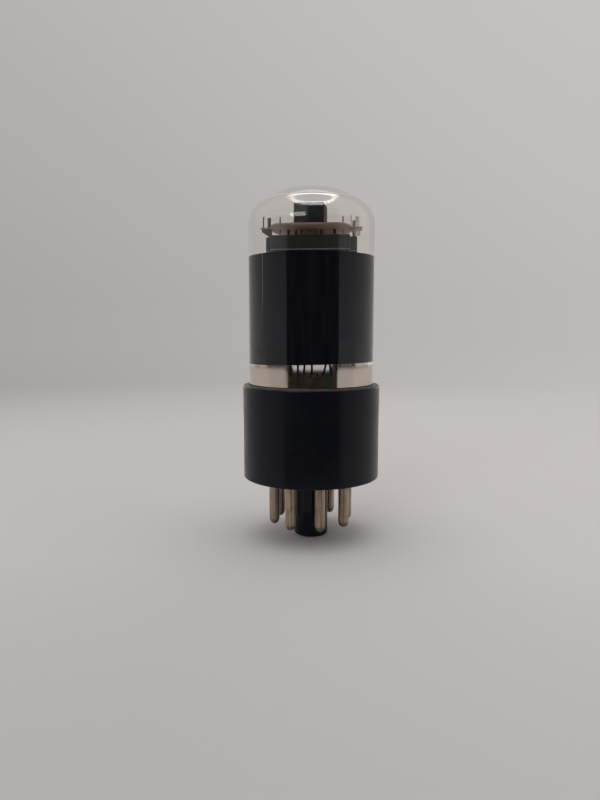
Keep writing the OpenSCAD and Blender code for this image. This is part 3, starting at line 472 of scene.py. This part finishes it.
# contact pins: rolled tube with a closed seam, a shoulder under the floor and a riveted collar above it
def buildPins():
    s = {k: v * mm for k, v in pinSizes.items() if k not in ("steps", "seams")}
    nickel = makeNickelPlate()
    bore, shank = pinRadius - s["wall"], pinRadius - s["shoulder"]
    floorZ = seatZ + baseSizes["floor"] * mm
    for number, node in enumerate(pinNodes, 1):
        low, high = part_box(node)
        centre = middle(node)
        edge, curl, draw = s["edge"], s["endCurl"], s["endDraw"]
        outline = [(bore, low.z)]
        outline += [(pinRadius - draw * (1 - math.sin(a)), low.z + curl * (1 - math.cos(a)))
                    for a in (math.pi / 2 * i / 6 for i in range(7))]
        outline += [(pinRadius, seatZ - s["seatGap"]), (shank, seatZ - s["seatGap"])]
        outline += [(shank, floorZ), (s["collar"] - edge, floorZ)]
        outline += arc(s["collar"] - edge, floorZ + edge, edge, -90, 0, 4)
        outline += [(s["collar"], floorZ + s["collarHeight"] - edge)]
        outline += [(s["collar"] - edge, floorZ + s["collarHeight"]), (shank, floorZ + s["collarHeight"])]
        outline += [(shank, high.z - edge), (shank - edge, high.z), (bore, high.z)]
        bm = lathe(outline, pinSizes["steps"], centre.xy)
        # the seam is one groove down the outside, at a different turn on each pin
        seam = math.radians(pinSizes["seams"][number - 1])
        for v in bm.verts:
            out = v.co.xy - centre.xy
            gap = math.remainder(math.atan2(out.y, out.x) - seam, math.tau)
            if out.length > bore + s["wall"] / 2 and abs(gap) < math.pi / pinSizes["steps"] and v.co.z < seatZ:
                v.co.xy -= out.normalized() * s["seamDepth"]
        addPiece(f"contactPin{number}", bm, nickel, [node], 38)


buildPins()
print("contact pins built")


# solder: one bead on the end of each pin, no two alike
beadSizes = {"height": 1.08, "draw": 0.1, "bore": 0.76, "plug": 0.6, "unevenness": 0.08, "lumpSize": 0.9,
             "roundness": 0.85, "lumpFrom": 0.05, "lumpRise": 3, "steps": 48}


def buildBeads():
    low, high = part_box("solder_tips")
    height, bore, plug = (beadSizes[k] * mm for k in ("height", "bore", "plug"))
    radius = pinRadius - beadSizes["draw"] * mm
    topZ = low.z + height
    bm = bmesh.new()
    for node in pinNodes:
        centre = middle(node)
        outline = [(radius * math.sin(a) ** beadSizes["roundness"], topZ - height * math.cos(a))
                   for a in (math.pi / 2 * i / 14 for i in range(15))]
        outline += [(bore, topZ), (bore, topZ + plug), (0, topZ + plug)]
        bead = lathe(outline, beadSizes["steps"], centre.xy)
        for v in bead.verts:
            depth = (topZ - v.co.z) / height
            if depth > beadSizes["lumpFrom"]:
                lump = noise.noise(v.co * perSize(beadSizes["lumpSize"]))
                swell = lump * beadSizes["unevenness"] * mm * min(depth * beadSizes["lumpRise"], 1)
                out = Vector((v.co.x - centre.x, v.co.y - centre.y, 0))
                v.co -= out * abs(swell) / radius
                v.co.z = max(low.z, v.co.z + abs(swell))
        joinTo(bm, bead)
    bmesh.ops.recalc_face_normals(bm, faces=bm.faces)
    addPiece("solderBeads", bm, makeSolder(), ["solder_tips"], 50)


buildBeads()
print("solder beads built")


# bulb: blown tube with a domed top, open below where it is sealed to the stem
bulbSizes = {"wall": 0.95, "lowerCurve": 4.0, "shoulder": 6.4, "dome": 8.5, "steps": 192}


def buildBulb():
    s = {k: v * mm for k, v in bulbSizes.items() if k != "steps"}
    low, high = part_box("glass_bulb")
    radius, topZ = high.x, high.z
    springZ = topZ - s["dome"]
    shoulderR = radius - s["shoulder"]
    crown = (shoulderR ** 2 + s["dome"] ** 2 - s["shoulder"] ** 2) / (2 * (s["dome"] - s["shoulder"]))
    crownZ = topZ - crown
    join = math.degrees(math.atan2(springZ - crownZ, shoulderR))
    footR, footZ = radius - s["lowerCurve"], low.z + s["lowerCurve"]
    outline = arc(footR, footZ, s["lowerCurve"], -90, 0)
    outline += arc(shoulderR, springZ, s["shoulder"], 0, join, 24)
    outline += arc(0, crownZ, crown, join, 90, 24)[1:]
    outline += arc(0, crownZ, crown - s["wall"], 90, join, 24)
    outline += arc(shoulderR, springZ, s["shoulder"] - s["wall"], join, 0, 24)[1:]
    outline += arc(footR, footZ, s["lowerCurve"] - s["wall"], 0, -90)
    bm = lathe(outline, bulbSizes["steps"])
    addPiece("glassBulb", bm, makeGlass("blownGlass", 9, 0.006), ["glass_bulb"], 60)


buildBulb()
print("bulb built")


# coatings inside the bulb, sunk a hair into the glass so that no air lies between and they fill its whole width
coatSizes = {"sink": 0.03, "paint": 0.05, "film": 0.05, "tilt": 1.1, "waver": 0.06, "waves": 2.2, "steps": 192,
             "paintCuts": 24, "filmCuts": 16}
scratch = {"turn": math.radians(-130.6), "swing": math.radians(5), "bend": 5.0, "width": 0.0055, "top": 63.9 * mm,
           "foot": 47.5 * mm, "topMark": 0.62, "footMark": 0.04}


def sleeve(radius, lowZ, highZ, thickness, cuts):
    bm = bmesh.new()
    bmesh.ops.create_circle(bm, segments=coatSizes["steps"], radius=radius)
    bmesh.ops.translate(bm, vec=(0, 0, lowZ), verts=bm.verts)
    for i in range(cuts):
        rim = [e for e in bm.edges if e.is_boundary or not e.link_faces]
        rim = [e for e in rim if all(v.co.z > lowZ + (highZ - lowZ) * (i - 0.5) / cuts for v in e.verts)]
        raised = bmesh.ops.extrude_edge_only(bm, edges=rim)["geom"]
        verts = [g for g in raised if isinstance(g, bmesh.types.BMVert)]
        bmesh.ops.translate(bm, vec=(0, 0, (highZ - lowZ) / cuts), verts=verts)
    bmesh.ops.recalc_face_normals(bm, faces=bm.faces)
    bmesh.ops.solidify(bm, geom=bm.faces[:], thickness=thickness)
    return bm


def buildCoats():
    low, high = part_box("carbon_band")
    radius = high.x + coatSizes["sink"] * mm
    tilt = math.tan(math.radians(coatSizes["tilt"]))
    bm = sleeve(radius, low.z, high.z, coatSizes["paint"] * mm, coatSizes["paintCuts"])
    span = high.z - low.z
    for v in bm.verts:
        # the painted edges waver a little, and the lower one runs uphill to the right
        turn = math.atan2(v.co.y, v.co.x)
        waves = coatSizes["waves"]
        ripple = noise.noise(Vector((waves * math.cos(turn), waves * math.sin(turn), v.co.z / span)))
        share = (high.z - v.co.z) / span
        v.co.z += share * tilt * (v.co.x + radius) + (2 * share - 1) * abs(ripple) * coatSizes["waver"] * mm
    addPiece("carbonCoat", bm, makeCarbonCoat(scratch), ["carbon_band"], 60)
    low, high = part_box("getter_mirror")
    bm = sleeve(high.x + coatSizes["sink"] * mm, low.z, high.z, coatSizes["film"] * mm, coatSizes["filmCuts"])
    addPiece("silverFilm", bm, makeSilverFilm(low.z, high.z), ["getter_mirror"], 60)


buildCoats()
print("coatings built")


# sheet metal of the mount
# a painted highlight along the crest of the plate's rib
paintedRibHighlight = {"z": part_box("plate_front")[1].z - 3.12 * mm, "outer": 0.16 * mm, "inner": 0.04 * mm, "colour": "#7d827c"}
carbonised = makeMetal("carbonisedNickel", "#262926", "#1d201e", 0.14, 1.8, 0.62, 0.35, 0.012, paintedRibHighlight)
nickelWire = makeMetal("nickelWire", "#a39a8d", "#7c7165", 0.1, 0.9, 0.34, 1.0, 0.006)
leadMetal = makeMetal("oxidisedLead", "#4b433b", "#2b2622", 0.12, 0.8, 0.42, 0.9, 0.008)
copper = makeMetal("copperRod", "#94543a", "#6a3323", 0.1, 0.9, 0.34, 1.0, 0.006)
oxideCoat = makeMetal("bariumOxideCoat", "#8c7d6b", "#66584a", 0.08, 0.9, 0.85, 0.0, 0.012)
alumina = makeMetal("aluminaCoat", "#e2ded4", "#c9c2b4", 0.08, 0.8, 0.9, 0.0, 0.012)
cement = makeMetal("bakedCement", "#a98f6a", "#7e6748", 0.2, 1.4, 0.85, 0.0, 0.03)
# the brown mica's pale colours are painted light, standing in for the light that reaches its underside through the
# sheet
micaBrown = makeMica("brownMica", "#f8dfcd", "#e6ccb9", 0.45, 0.1, 0.6, "#b89c8c")
# the two spacers are one mica: the left one's darker colour is painted shade and the right one's paler colour painted
# light
shadedSpacerMica = makeMica("greyMica", "#5a493f", "#3f332c", 0.05, 0.25, 0.5)
litSpacerMica = makeMica("paleMica", "#eee3d9", "#cbbeb2", 0.75, 0.5, 0.25)
stemGlass = makeGlass("pressedGlass", 3, 0.02)


def bentSheet(path, lowZ, highZ, bend):  # a strip folded along a plan of corners
    bm = bmesh.new()
    corners = [bm.verts.new((x * mm, y * mm, lowZ)) for x, y in path]
    for pair in zip(corners, corners[1:]):
        bm.edges.new(pair)
    bmesh.ops.bevel(bm, geom=corners[1:-1], offset=bend * mm, segments=5, profile=0.5, affect="VERTICES",
                    material=-1)
    raised = bmesh.ops.extrude_edge_only(bm, edges=bm.edges[:])["geom"]
    bmesh.ops.translate(bm, vec=(0, 0, highZ - lowZ), verts=[g for g in raised if isinstance(g, bmesh.types.BMVert)])
    return bm


def thicken(piece, thickness):
    wall = piece.modifiers.new("wall", "SOLIDIFY")
    wall.thickness = thickness * mm
    wall.offset = 0.0
    wall.use_even_offset = True
    softenEdges(piece)


# plate: two pressed halves whose flanges meet round the side rods
plateSizes = {"flange": 10.3, "box": 8.75, "boxDepth": 4.2, "gap": 0.42, "sheet": 0.25, "bend": 0.45,
              "ribDrop": 3.5, "ribHeight": 0.4, "ribProud": 0.25, "ribEnd": 0.6, "ribSlope": 0.1}


def buildPlate(name, node, side):
    s = plateSizes
    low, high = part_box(node)
    half = s["sheet"] / 2
    flangeY, boxY, boxX = -(s["gap"] + half), -(s["boxDepth"] - half), s["box"] - half
    path = [(-s["flange"], flangeY), (-boxX, flangeY), (-boxX, boxY), (boxX, boxY), (boxX, flangeY),
            (s["flange"], flangeY)]
    bm = bentSheet(path, low.z, high.z, s["bend"])
    ribLow = high.z - s["ribDrop"] * mm
    ribHigh = ribLow + s["ribHeight"] * mm
    slope, endX = s["ribSlope"] * mm, (s["box"] - s["ribEnd"]) * mm
    cuts = [((0, 0, z), (0, 0, 1)) for z in (ribLow - slope, ribLow, ribHigh, ribHigh + slope)]
    cuts += [((x, 0, 0), (1, 0, 0)) for x in (-endX, slope - endX, endX - slope, endX)]
    for place, facing in cuts:
        bmesh.ops.bisect_plane(bm, geom=bm.verts[:] + bm.edges[:] + bm.faces[:], plane_co=place, plane_no=facing,
                               dist=mergeGap)
    for v in bm.verts:
        inside = ribLow - slope / 2 < v.co.z < ribHigh + slope / 2 and abs(v.co.x) < endX - slope / 2
        if inside and v.co.y < boxY * mm * 0.95:
            v.co.y -= s["ribProud"] * mm
    if side > 0:
        bmesh.ops.scale(bm, vec=(1, -1, 1), verts=bm.verts)
    bmesh.ops.recalc_face_normals(bm, faces=bm.faces)
    turnToMount(bm)
    piece = addPiece(name, bm, carbonised, [node], 40)
    thicken(piece, s["sheet"])


buildPlate("plateFront", "plate_front", -1)
buildPlate("plateRear", "plate_rear", 1)
print("plate built")


# radiator: a blackened strip folded round the two control grid rods
radiatorSizes = {"middle": -0.6, "half": 3.32, "front": -0.47, "depth": 2.4, "splay": 0.62, "cornerCut": 0.8,
                 "sheet": 0.2, "bend": 0.25, "brownFrom": 0.1}


def buildRadiator():
    s = radiatorSizes
    low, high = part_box("grid_radiator")
    left, right = s["middle"] - s["half"], s["middle"] + s["half"]
    path = [(left, s["depth"]), (left, s["front"]), (right, s["front"]), (right + s["splay"], s["depth"])]
    bm = bentSheet(path, low.z, high.z, s["bend"])
    for v in bm.verts:
        if v.co.x > (right + s["splay"] / 2) * mm and v.co.z > (low.z + high.z) / 2:
            v.co.z -= s["cornerCut"] * mm
    bmesh.ops.recalc_face_normals(bm, faces=bm.faces)
    turnToMount(bm)
    blackened = makeBlackened(mountTurn, right + s["brownFrom"])
    piece = addPiece("gridRadiator", bm, blackened, ["grid_radiator"], 40)
    thicken(piece, s["sheet"])


buildRadiator()
print("radiator built")


def rodPair(node):  # centre and radius, foot and top of each rod in a node
    for side in (-1, 1):
        points = [v.co for v in frame["nodes"][node].data.vertices if v.co.x * side > 0]
        if points:
            low = Vector([min(p[i] for p in points) for i in range(3)])
            high = Vector([max(p[i] for p in points) for i in range(3)])
            yield (low + high) / 2, (high.x - low.x) / 2, low.z, high.z


rodSizes = {"edge": 0.06, "steps": 28}


def addRod(bm, centre, radius, lowZ, highZ):
    made = bmesh.ops.create_cone(bm, cap_ends=True, segments=rodSizes["steps"], radius1=radius, radius2=radius,
                                 depth=highZ - lowZ, matrix=Matrix.Translation((*centre.xy, (lowZ + highZ) / 2)))
    ends = {e for v in made["verts"] for e in v.link_edges if abs(e.verts[0].co.z - e.verts[1].co.z) < mergeGap}
    bmesh.ops.bevel(bm, geom=list(ends), offset=rodSizes["edge"] * mm, segments=2, profile=0.5, affect="EDGES",
                    material=-1)


def pieceName(node):  # plate_rod_left gives plateRodLeft
    first, *rest = node.split("_")
    return first + "".join(word.title() for word in rest)


rodPieces = [(nickelWire, "nickel_wire", ["plate_rod_left", "plate_rod_right"]),
             (copper, "copper_rod", ["control_grid_rods", "screen_grid_rods"])]
for material, slot, nodes in rodPieces:
    for node in nodes:
        bm = bmesh.new()
        for rod in rodPair(node):
            addRod(bm, *rod)
        addPiece(pieceName(node), bm, material, [node], 40)
print("rods built")


# round wires: the CAD run with its six sides rounded out
wireSizes = {"lead": 0.25, "gridWire": 0.1, "heater": 0.2, "swell": 0.2}


def roundWire(name, node, material, radius):
    bm = cadCopy(node)
    bmesh.ops.join_triangles(bm, faces=bm.faces[:], angle_face_threshold=math.radians(50),
                             angle_shape_threshold=math.radians(80))
    bmesh.ops.recalc_face_normals(bm, faces=bm.faces)
    bm.normal_update()
    swell = wireSizes["swell"] * radius * mm  # what the smoothing takes off a six-sided section
    for v in bm.verts:
        v.co += v.normal * swell
    piece = addPiece(name, bm, material, [node], 180)
    rounding = piece.modifiers.new("rounding", "SUBSURF")
    rounding.levels = rounding.render_levels = 2


for number, node in enumerate(leadNodes, 1):
    roundWire(f"leadWire{number}", node, leadMetal, wireSizes["lead"])
roundWire("getterStrut", "getter_strut", nickelWire, wireSizes["lead"])
roundWire("controlGridWinding", "control_grid_winding", copper, wireSizes["gridWire"])
roundWire("screenGridWinding", "screen_grid_winding", nickelWire, wireSizes["gridWire"])
roundWire("heaterWire", "heater", alumina, wireSizes["heater"])
print("wires built")


def finishCopy(node, material, sag=0.0):  # a CAD shape with softened edges, lower at the rear by its sag
    bm = cadCopy(node)
    bmesh.ops.dissolve_limit(bm, angle_limit=math.radians(0.5), verts=bm.verts, edges=bm.edges)
    low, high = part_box(node)
    for v in bm.verts:
        v.co.z -= sag * mm * (v.co.y - low.y) / (high.y - low.y)
    softenEdges(addPiece(pieceName(node), bm, material, [node], 35))


finishCopy("top_mica", micaBrown, sag=0.8)
copiedPieces = [(micaBrown, "mica", ["pentode_bottom_mica", "rectifier_top_mica", "bottom_mica"]),
                (shadedSpacerMica, "mica", ["bulb_spacer_left"]), (litSpacerMica, "mica", ["bulb_spacer_right"]),
                (nickelWire, "nickel_wire", ["beam_plate_left", "beam_plate_right", "cathode_strap", "getter_cup"]),
                (carbonised, "carbonised_nickel", ["rectifier_plate"]),
                (oxideCoat, "oxide_coating", ["pentode_cathode", "rectifier_cathode"]),
                (cement, "basing_cement", ["basing_cement"]),
                (stemGlass, "stem_glass", ["glass_stem", "exhaust_tube"])]
for material, slot, nodes in copiedPieces:
    for node in nodes:
        finishCopy(node, material)
print("sheet pieces and hidden pieces built")


# studio: a pale tent with an open dark front, a ring lamp overhead, and a pale floor with painted shade towards the
# front and painted light to the right
studio = {"turn": 8.94, "openHalf": 47.5, "openTurn": 2.8, "flapAcross": -0.1, "flapFrom": 0.2,
          "wall": 0.29, "backWall": 0.41, "lowGlow": 0.1, "glowTop": 0.14, "backSpread": 0.85, "roof": 0.43,
          "roofFrom": 0.2, "roofFull": 0.5, "hole": 0.72, "front": 0.033, "frontSoft": 0.03,
          "backdrop": "#b8b5b3", "backdropLow": 0.94, "toRight": 0.27, "toTop": 0.36, "topFrom": 0.05,
          "lamp": 9.5, "lampSpread": 1.5, "lampLeft": 0.62, "lampFar": 0.125,
          "lampOuter": (0.025, -0.12, 0.43, 1.12, 0.54), "lampInner": (0.035, -0.12, 0.345, 0.72, 0.33),
          "window": 5.0, "panes": ((-0.52, -0.178, 0.37, 0.036, 0.11), (-0.52, -0.178, 0.24, 0.03, 0.12),
                                   (-0.6, -0.52, 0.285, 0.08, 0.0)),
          "frontTint": (0.97, 0.985, 1.07, 1), "backTint": (1.02, 0.985, 0.96, 1), "windowTint": (0.95, 1.02, 0.96, 1),
          "floor": "#e0dcd9", "paintedLightToRight": 0.08, "paintedShadeNear": 0.85, "floorRadius": 1.5, "floorDrop": 0.02,
          "fadeStart": 0.12, "fadeEnd": 0.5, "edge": 0.06, "edgeSoft": 0.01, "edgeApex": 0.0085,
          "sun": 0.74, "sunSpread": 48}
frontTurn = Matrix.Rotation(math.radians(studio["openTurn"]), 3, "Z")
back = Matrix.Rotation(math.radians(studio["turn"]), 3, "Z") @ Vector((0, 1, 0))
right = Vector((back.y, -back.x, 0))


def seenStraight(add):  # 1 for what the eye sees itself or through clear glass, 0 for light and reflections
    path = add("LightPath").outputs
    eye = add("Math", {0: path["Is Camera Ray"], 1: path["Is Transmission Ray"]}, operation="ADD")
    bounced = add("Math", {0: path["Glossy Depth"], 1: path["Diffuse Depth"]}, operation="ADD")
    first = add("Math", {0: bounced}, {1: 0.5}, operation="LESS_THAN")
    return add("Math", {0: eye, 1: first}, operation="MULTIPLY", use_clamp=True)


def insideOpening(add, way):  # above 0 for a direction or place inside the wedge of the tent's open front
    frontX = add("VectorMath", {0: way}, {1: frontTurn @ right}, operation="DOT_PRODUCT")
    frontY = add("VectorMath", {0: way}, {1: frontTurn @ back}, operation="DOT_PRODUCT")
    sideways = add("Math", {0: frontX}, operation="ABSOLUTE")
    reach = add("Math", {0: frontY}, {1: -math.tan(math.radians(studio["openHalf"]))}, operation="MULTIPLY")
    return add("Math", {0: reach, 1: sideways}, operation="SUBTRACT")


def backdropLevel(add, way):  # the backdrop is a little brighter to the right and towards the top
    across = add("VectorMath", {0: way}, {1: right}, operation="DOT_PRODUCT")
    up = add("VectorMath", {0: way}, {1: (0, 0, 1)}, operation="DOT_PRODUCT")
    above = add("Math", {0: up}, {1: studio["topFrom"]}, operation="MAXIMUM")
    lowest = studio["backdropLow"] - studio["topFrom"] * studio["toTop"]
    rising = add("Math", {0: above}, {1: studio["toTop"], 2: lowest}, operation="MULTIPLY_ADD")
    return add("Math", {0: across, 2: rising}, {1: studio["toRight"]}, operation="MULTIPLY_ADD")


def tentLight(add, way, across, deep, up, mirrored):
    sides = add("MapRange", {0: deep}, (-0.6, 0.4, studio["wall"], studio["backWall"]))
    glow = add("MapRange", {0: up}, (0.0, studio["glowTop"], studio["lowGlow"], 0.0))
    lowSides = add("Math", {0: sides, 1: glow}, operation="ADD")
    # light from behind comes in low, and only clear glass mirrors the bare cloth and lamp
    spread = add("MapRange", {0: mirrored}, {3: studio["backSpread"], 4: 0.0})
    behind = add("MapRange", {0: deep}, (0.3, 0.9))
    lowSides = add("Math", {0: behind, 1: spread, 2: lowSides}, operation="MULTIPLY_ADD")
    walls = add("MapRange", {0: up, 3: lowSides}, {1: studio["roofFrom"], 2: studio["roofFull"], 4: studio["roof"]})
    # the open front is dark, and a flap closes it at the upper left
    beside = add("Math", {0: across}, {1: studio["flapAcross"]}, operation="SUBTRACT")
    under = add("Math", {0: up}, {1: -1.0, 2: studio["flapFrom"]}, operation="MULTIPLY_ADD")
    clearOfFlap = add("Math", {0: beside, 1: under}, operation="MAXIMUM")
    opening = add("Math", {0: insideOpening(add, way), 1: clearOfFlap}, operation="MINIMUM")
    return add("MapRange", {0: opening, 3: walls},
               {1: -studio["frontSoft"], 2: studio["frontSoft"], 4: studio["front"]})


def ringLamp(add, across, deep, up):  # an oval ring in the roof of the tent, and 0 to 1 from its hole outwards
    rise = add("Math", {0: up}, {1: 0.02}, operation="MAXIMUM")
    roofX = add("Math", {0: across, 1: rise}, operation="DIVIDE")
    roofY = add("Math", {0: deep, 1: rise}, operation="DIVIDE")
    ovals = []
    for midX, midY, halfX, far, near in (studio["lampOuter"], studio["lampInner"]):
        ovalX = add("Math", {0: roofX}, {1: 1 / halfX, 2: -midX / halfX}, operation="MULTIPLY_ADD")
        farY = add("Math", {0: roofY}, {1: 1 / far, 2: -midY / far}, operation="MULTIPLY_ADD")
        nearY = add("Math", {0: roofY}, {1: -1 / near, 2: midY / near}, operation="MULTIPLY_ADD")
        ovalY = add("Math", {0: farY, 1: nearY}, operation="MAXIMUM")
        ovals.append(add("VectorMath", {0: add("CombineXYZ", {0: ovalX, 1: ovalY})}, operation="LENGTH"))
    outer = add("MapRange", {0: ovals[0]}, (1.1, 0.9))
    inner = add("MapRange", {0: ovals[1]}, (0.93, 1.12))
    side = add("MapRange", {0: roofX}, (-0.4, 0.3, studio["lampLeft"]))
    farSide = add("MapRange", {0: roofY}, (-0.3, 0.3, 1.0, studio["lampFar"]))
    ring = outer
    for share in (inner, side, farSide):
        ring = add("Math", {0: ring, 1: share}, operation="MULTIPLY")
    return ring, inner


def frontWindow(add, across, deep, up):  # two slanting panes with a small one beside them
    window = None
    for left, end, level, half, slant in studio["panes"]:
        within = add("Math", {0: across}, {1: (left + end) / 2, 2: (end - left) / 2}, operation="COMPARE")
        sloped = add("Math", {0: across, 2: up}, {1: -slant}, operation="MULTIPLY_ADD")
        high = add("Math", {0: sloped}, {1: level - slant * (left + end) / 2, 2: half}, operation="COMPARE")
        pane = add("Math", {0: within, 1: high}, operation="MULTIPLY")
        window = add("Math", {0: pane, 1: window}, operation="ADD") if window else pane
    inFront = add("Math", {0: deep}, {1: 0.0}, operation="LESS_THAN")
    return add("Math", {0: window, 1: inFront}, operation="MULTIPLY")


def buildWorld():
    world = bpy.data.worlds.new("studio")
    world.use_nodes = True
    bpy.context.scene.world = world
    world.node_tree.nodes.clear()
    add = partial(addNode, world.node_tree)
    way = add("TexCoord").outputs["Generated"]
    across, deep, up = (add("VectorMath", {0: way}, {1: axis}, operation="DOT_PRODUCT")
                        for axis in (right, back, (0, 0, 1)))
    mirrored = add("LightPath").outputs["Is Singular Ray"]
    tent = tentLight(add, way, across, deep, up, mirrored)
    ring, outsideHole = ringLamp(add, across, deep, up)
    window = frontWindow(add, across, deep, up)
    hole = add("MapRange", {0: outsideHole}, {3: studio["hole"]})
    cloth = add("Math", {0: tent, 1: hole}, operation="MULTIPLY")
    lampLevel = add("MapRange", {0: mirrored}, {3: studio["lampSpread"], 4: studio["lamp"]})
    lampLight = add("Math", {0: ring, 1: lampLevel, 2: cloth}, operation="MULTIPLY_ADD")
    light = add("Math", {0: window, 2: lampLight}, {1: studio["window"]}, operation="MULTIPLY_ADD")
    cool = add("MapRange", {0: deep}, (-0.8, 0.3))
    tint = add("Mix", {0: cool}, {6: studio["frontTint"], 7: studio["backTint"]}, data_type="RGBA")
    tint = add("Mix", {0: window, 6: tint}, {7: studio["windowTint"]}, data_type="RGBA")
    lit = add("Background", {"Strength": light, "Color": tint})
    shown = add("Background", {"Strength": backdropLevel(add, way)}, {"Color": linear(studio["backdrop"])})
    add("OutputWorld", {"Surface": add("MixShader", {0: seenStraight(add), 1: lit, 2: shown})})


def buildFloor():
    bm = bmesh.new()
    bmesh.ops.create_circle(bm, cap_ends=True, segments=128, radius=studio["floorRadius"])
    bmesh.ops.translate(bm, vec=(0, 0, -studio["floorDrop"] * mm), verts=bm.verts)
    floor = meshObject("floor", bm)
    # a pale matt sheet that runs into the backdrop a long way off
    material, add, shader, place = startMaterial("paperSheet", {"Roughness": 0.9, "Specular IOR Level": 0.0})
    # painted shade: the sheet is darker towards the front; painted light: it is brighter to the right
    towards = add("VectorMath", {0: place}, {1: -back}, operation="DOT_PRODUCT")
    near = add("MapRange", {0: towards}, (0.02, 0.1, 1.0, studio["paintedShadeNear"]))
    across = add("VectorMath", {0: place}, {1: right}, operation="DOT_PRODUCT")
    brighter = add("MapRange", {0: across}, (-0.02, 0.06, 0.0, studio["paintedLightToRight"]))
    grey = add("Math", {0: near, 1: brighter}, operation="ADD")
    sheet = add("VectorMath", {1: grey}, {0: linear(studio["floor"])[:3]}, operation="MULTIPLY")
    linkTo(shader, {"Base Color": sheet})
    far = add("VectorMath", {0: place}, operation="LENGTH")
    fade = add("MapRange", {0: far}, (studio["fadeStart"], studio["fadeEnd"]), interpolation_type="SMOOTHSTEP")
    share = add("Math", {0: fade, 1: seenStraight(add)}, operation="MULTIPLY")
    level = backdropLevel(add, add("VectorMath", {0: place}, operation="NORMALIZE"))
    glow = add("Emission", {"Strength": level}, {"Color": linear(studio["backdrop"])})
    mixed = add("MixShader", {0: share, 1: shader, 2: glow})
    # in reflections the sheet ends where the tent is open
    apex = add("VectorMath", {0: place}, {1: studio["edgeApex"] * back}, operation="ADD")
    wedge = add("MapRange", {0: insideOpening(add, apex)}, (-0.002, 0.002))
    beyond = add("MapRange", {0: far}, (studio["edge"] - studio["edgeSoft"], studio["edge"] + studio["edgeSoft"]))
    ends = add("Math", {0: wedge, 1: beyond}, operation="MULTIPLY")
    hidden = add("Math", {0: ends, 1: add("LightPath").outputs["Is Glossy Ray"]}, operation="MULTIPLY")
    dark = add("Emission", (), {"Color": (1, 1, 1, 1), "Strength": studio["front"]})
    ended = add("MixShader", {0: hidden, 1: mixed, 2: dark})
    linkTo(material.node_tree.nodes["Material Output"], {"Surface": ended})
    floor.data.materials.append(material)


def buildLamp():  # soft even light from straight above, which shows in no reflection
    lamp = bpy.data.lights.new("softLight", "SUN")
    lamp.energy = studio["sun"]
    lamp.angle = math.radians(studio["sunSpread"])
    holder = bpy.data.objects.new("softLight", lamp)
    holder.visible_camera = holder.visible_glossy = holder.visible_transmission = False
    bpy.context.scene.collection.objects.link(holder)


buildWorld()
buildFloor()
buildLamp()
print("studio set")
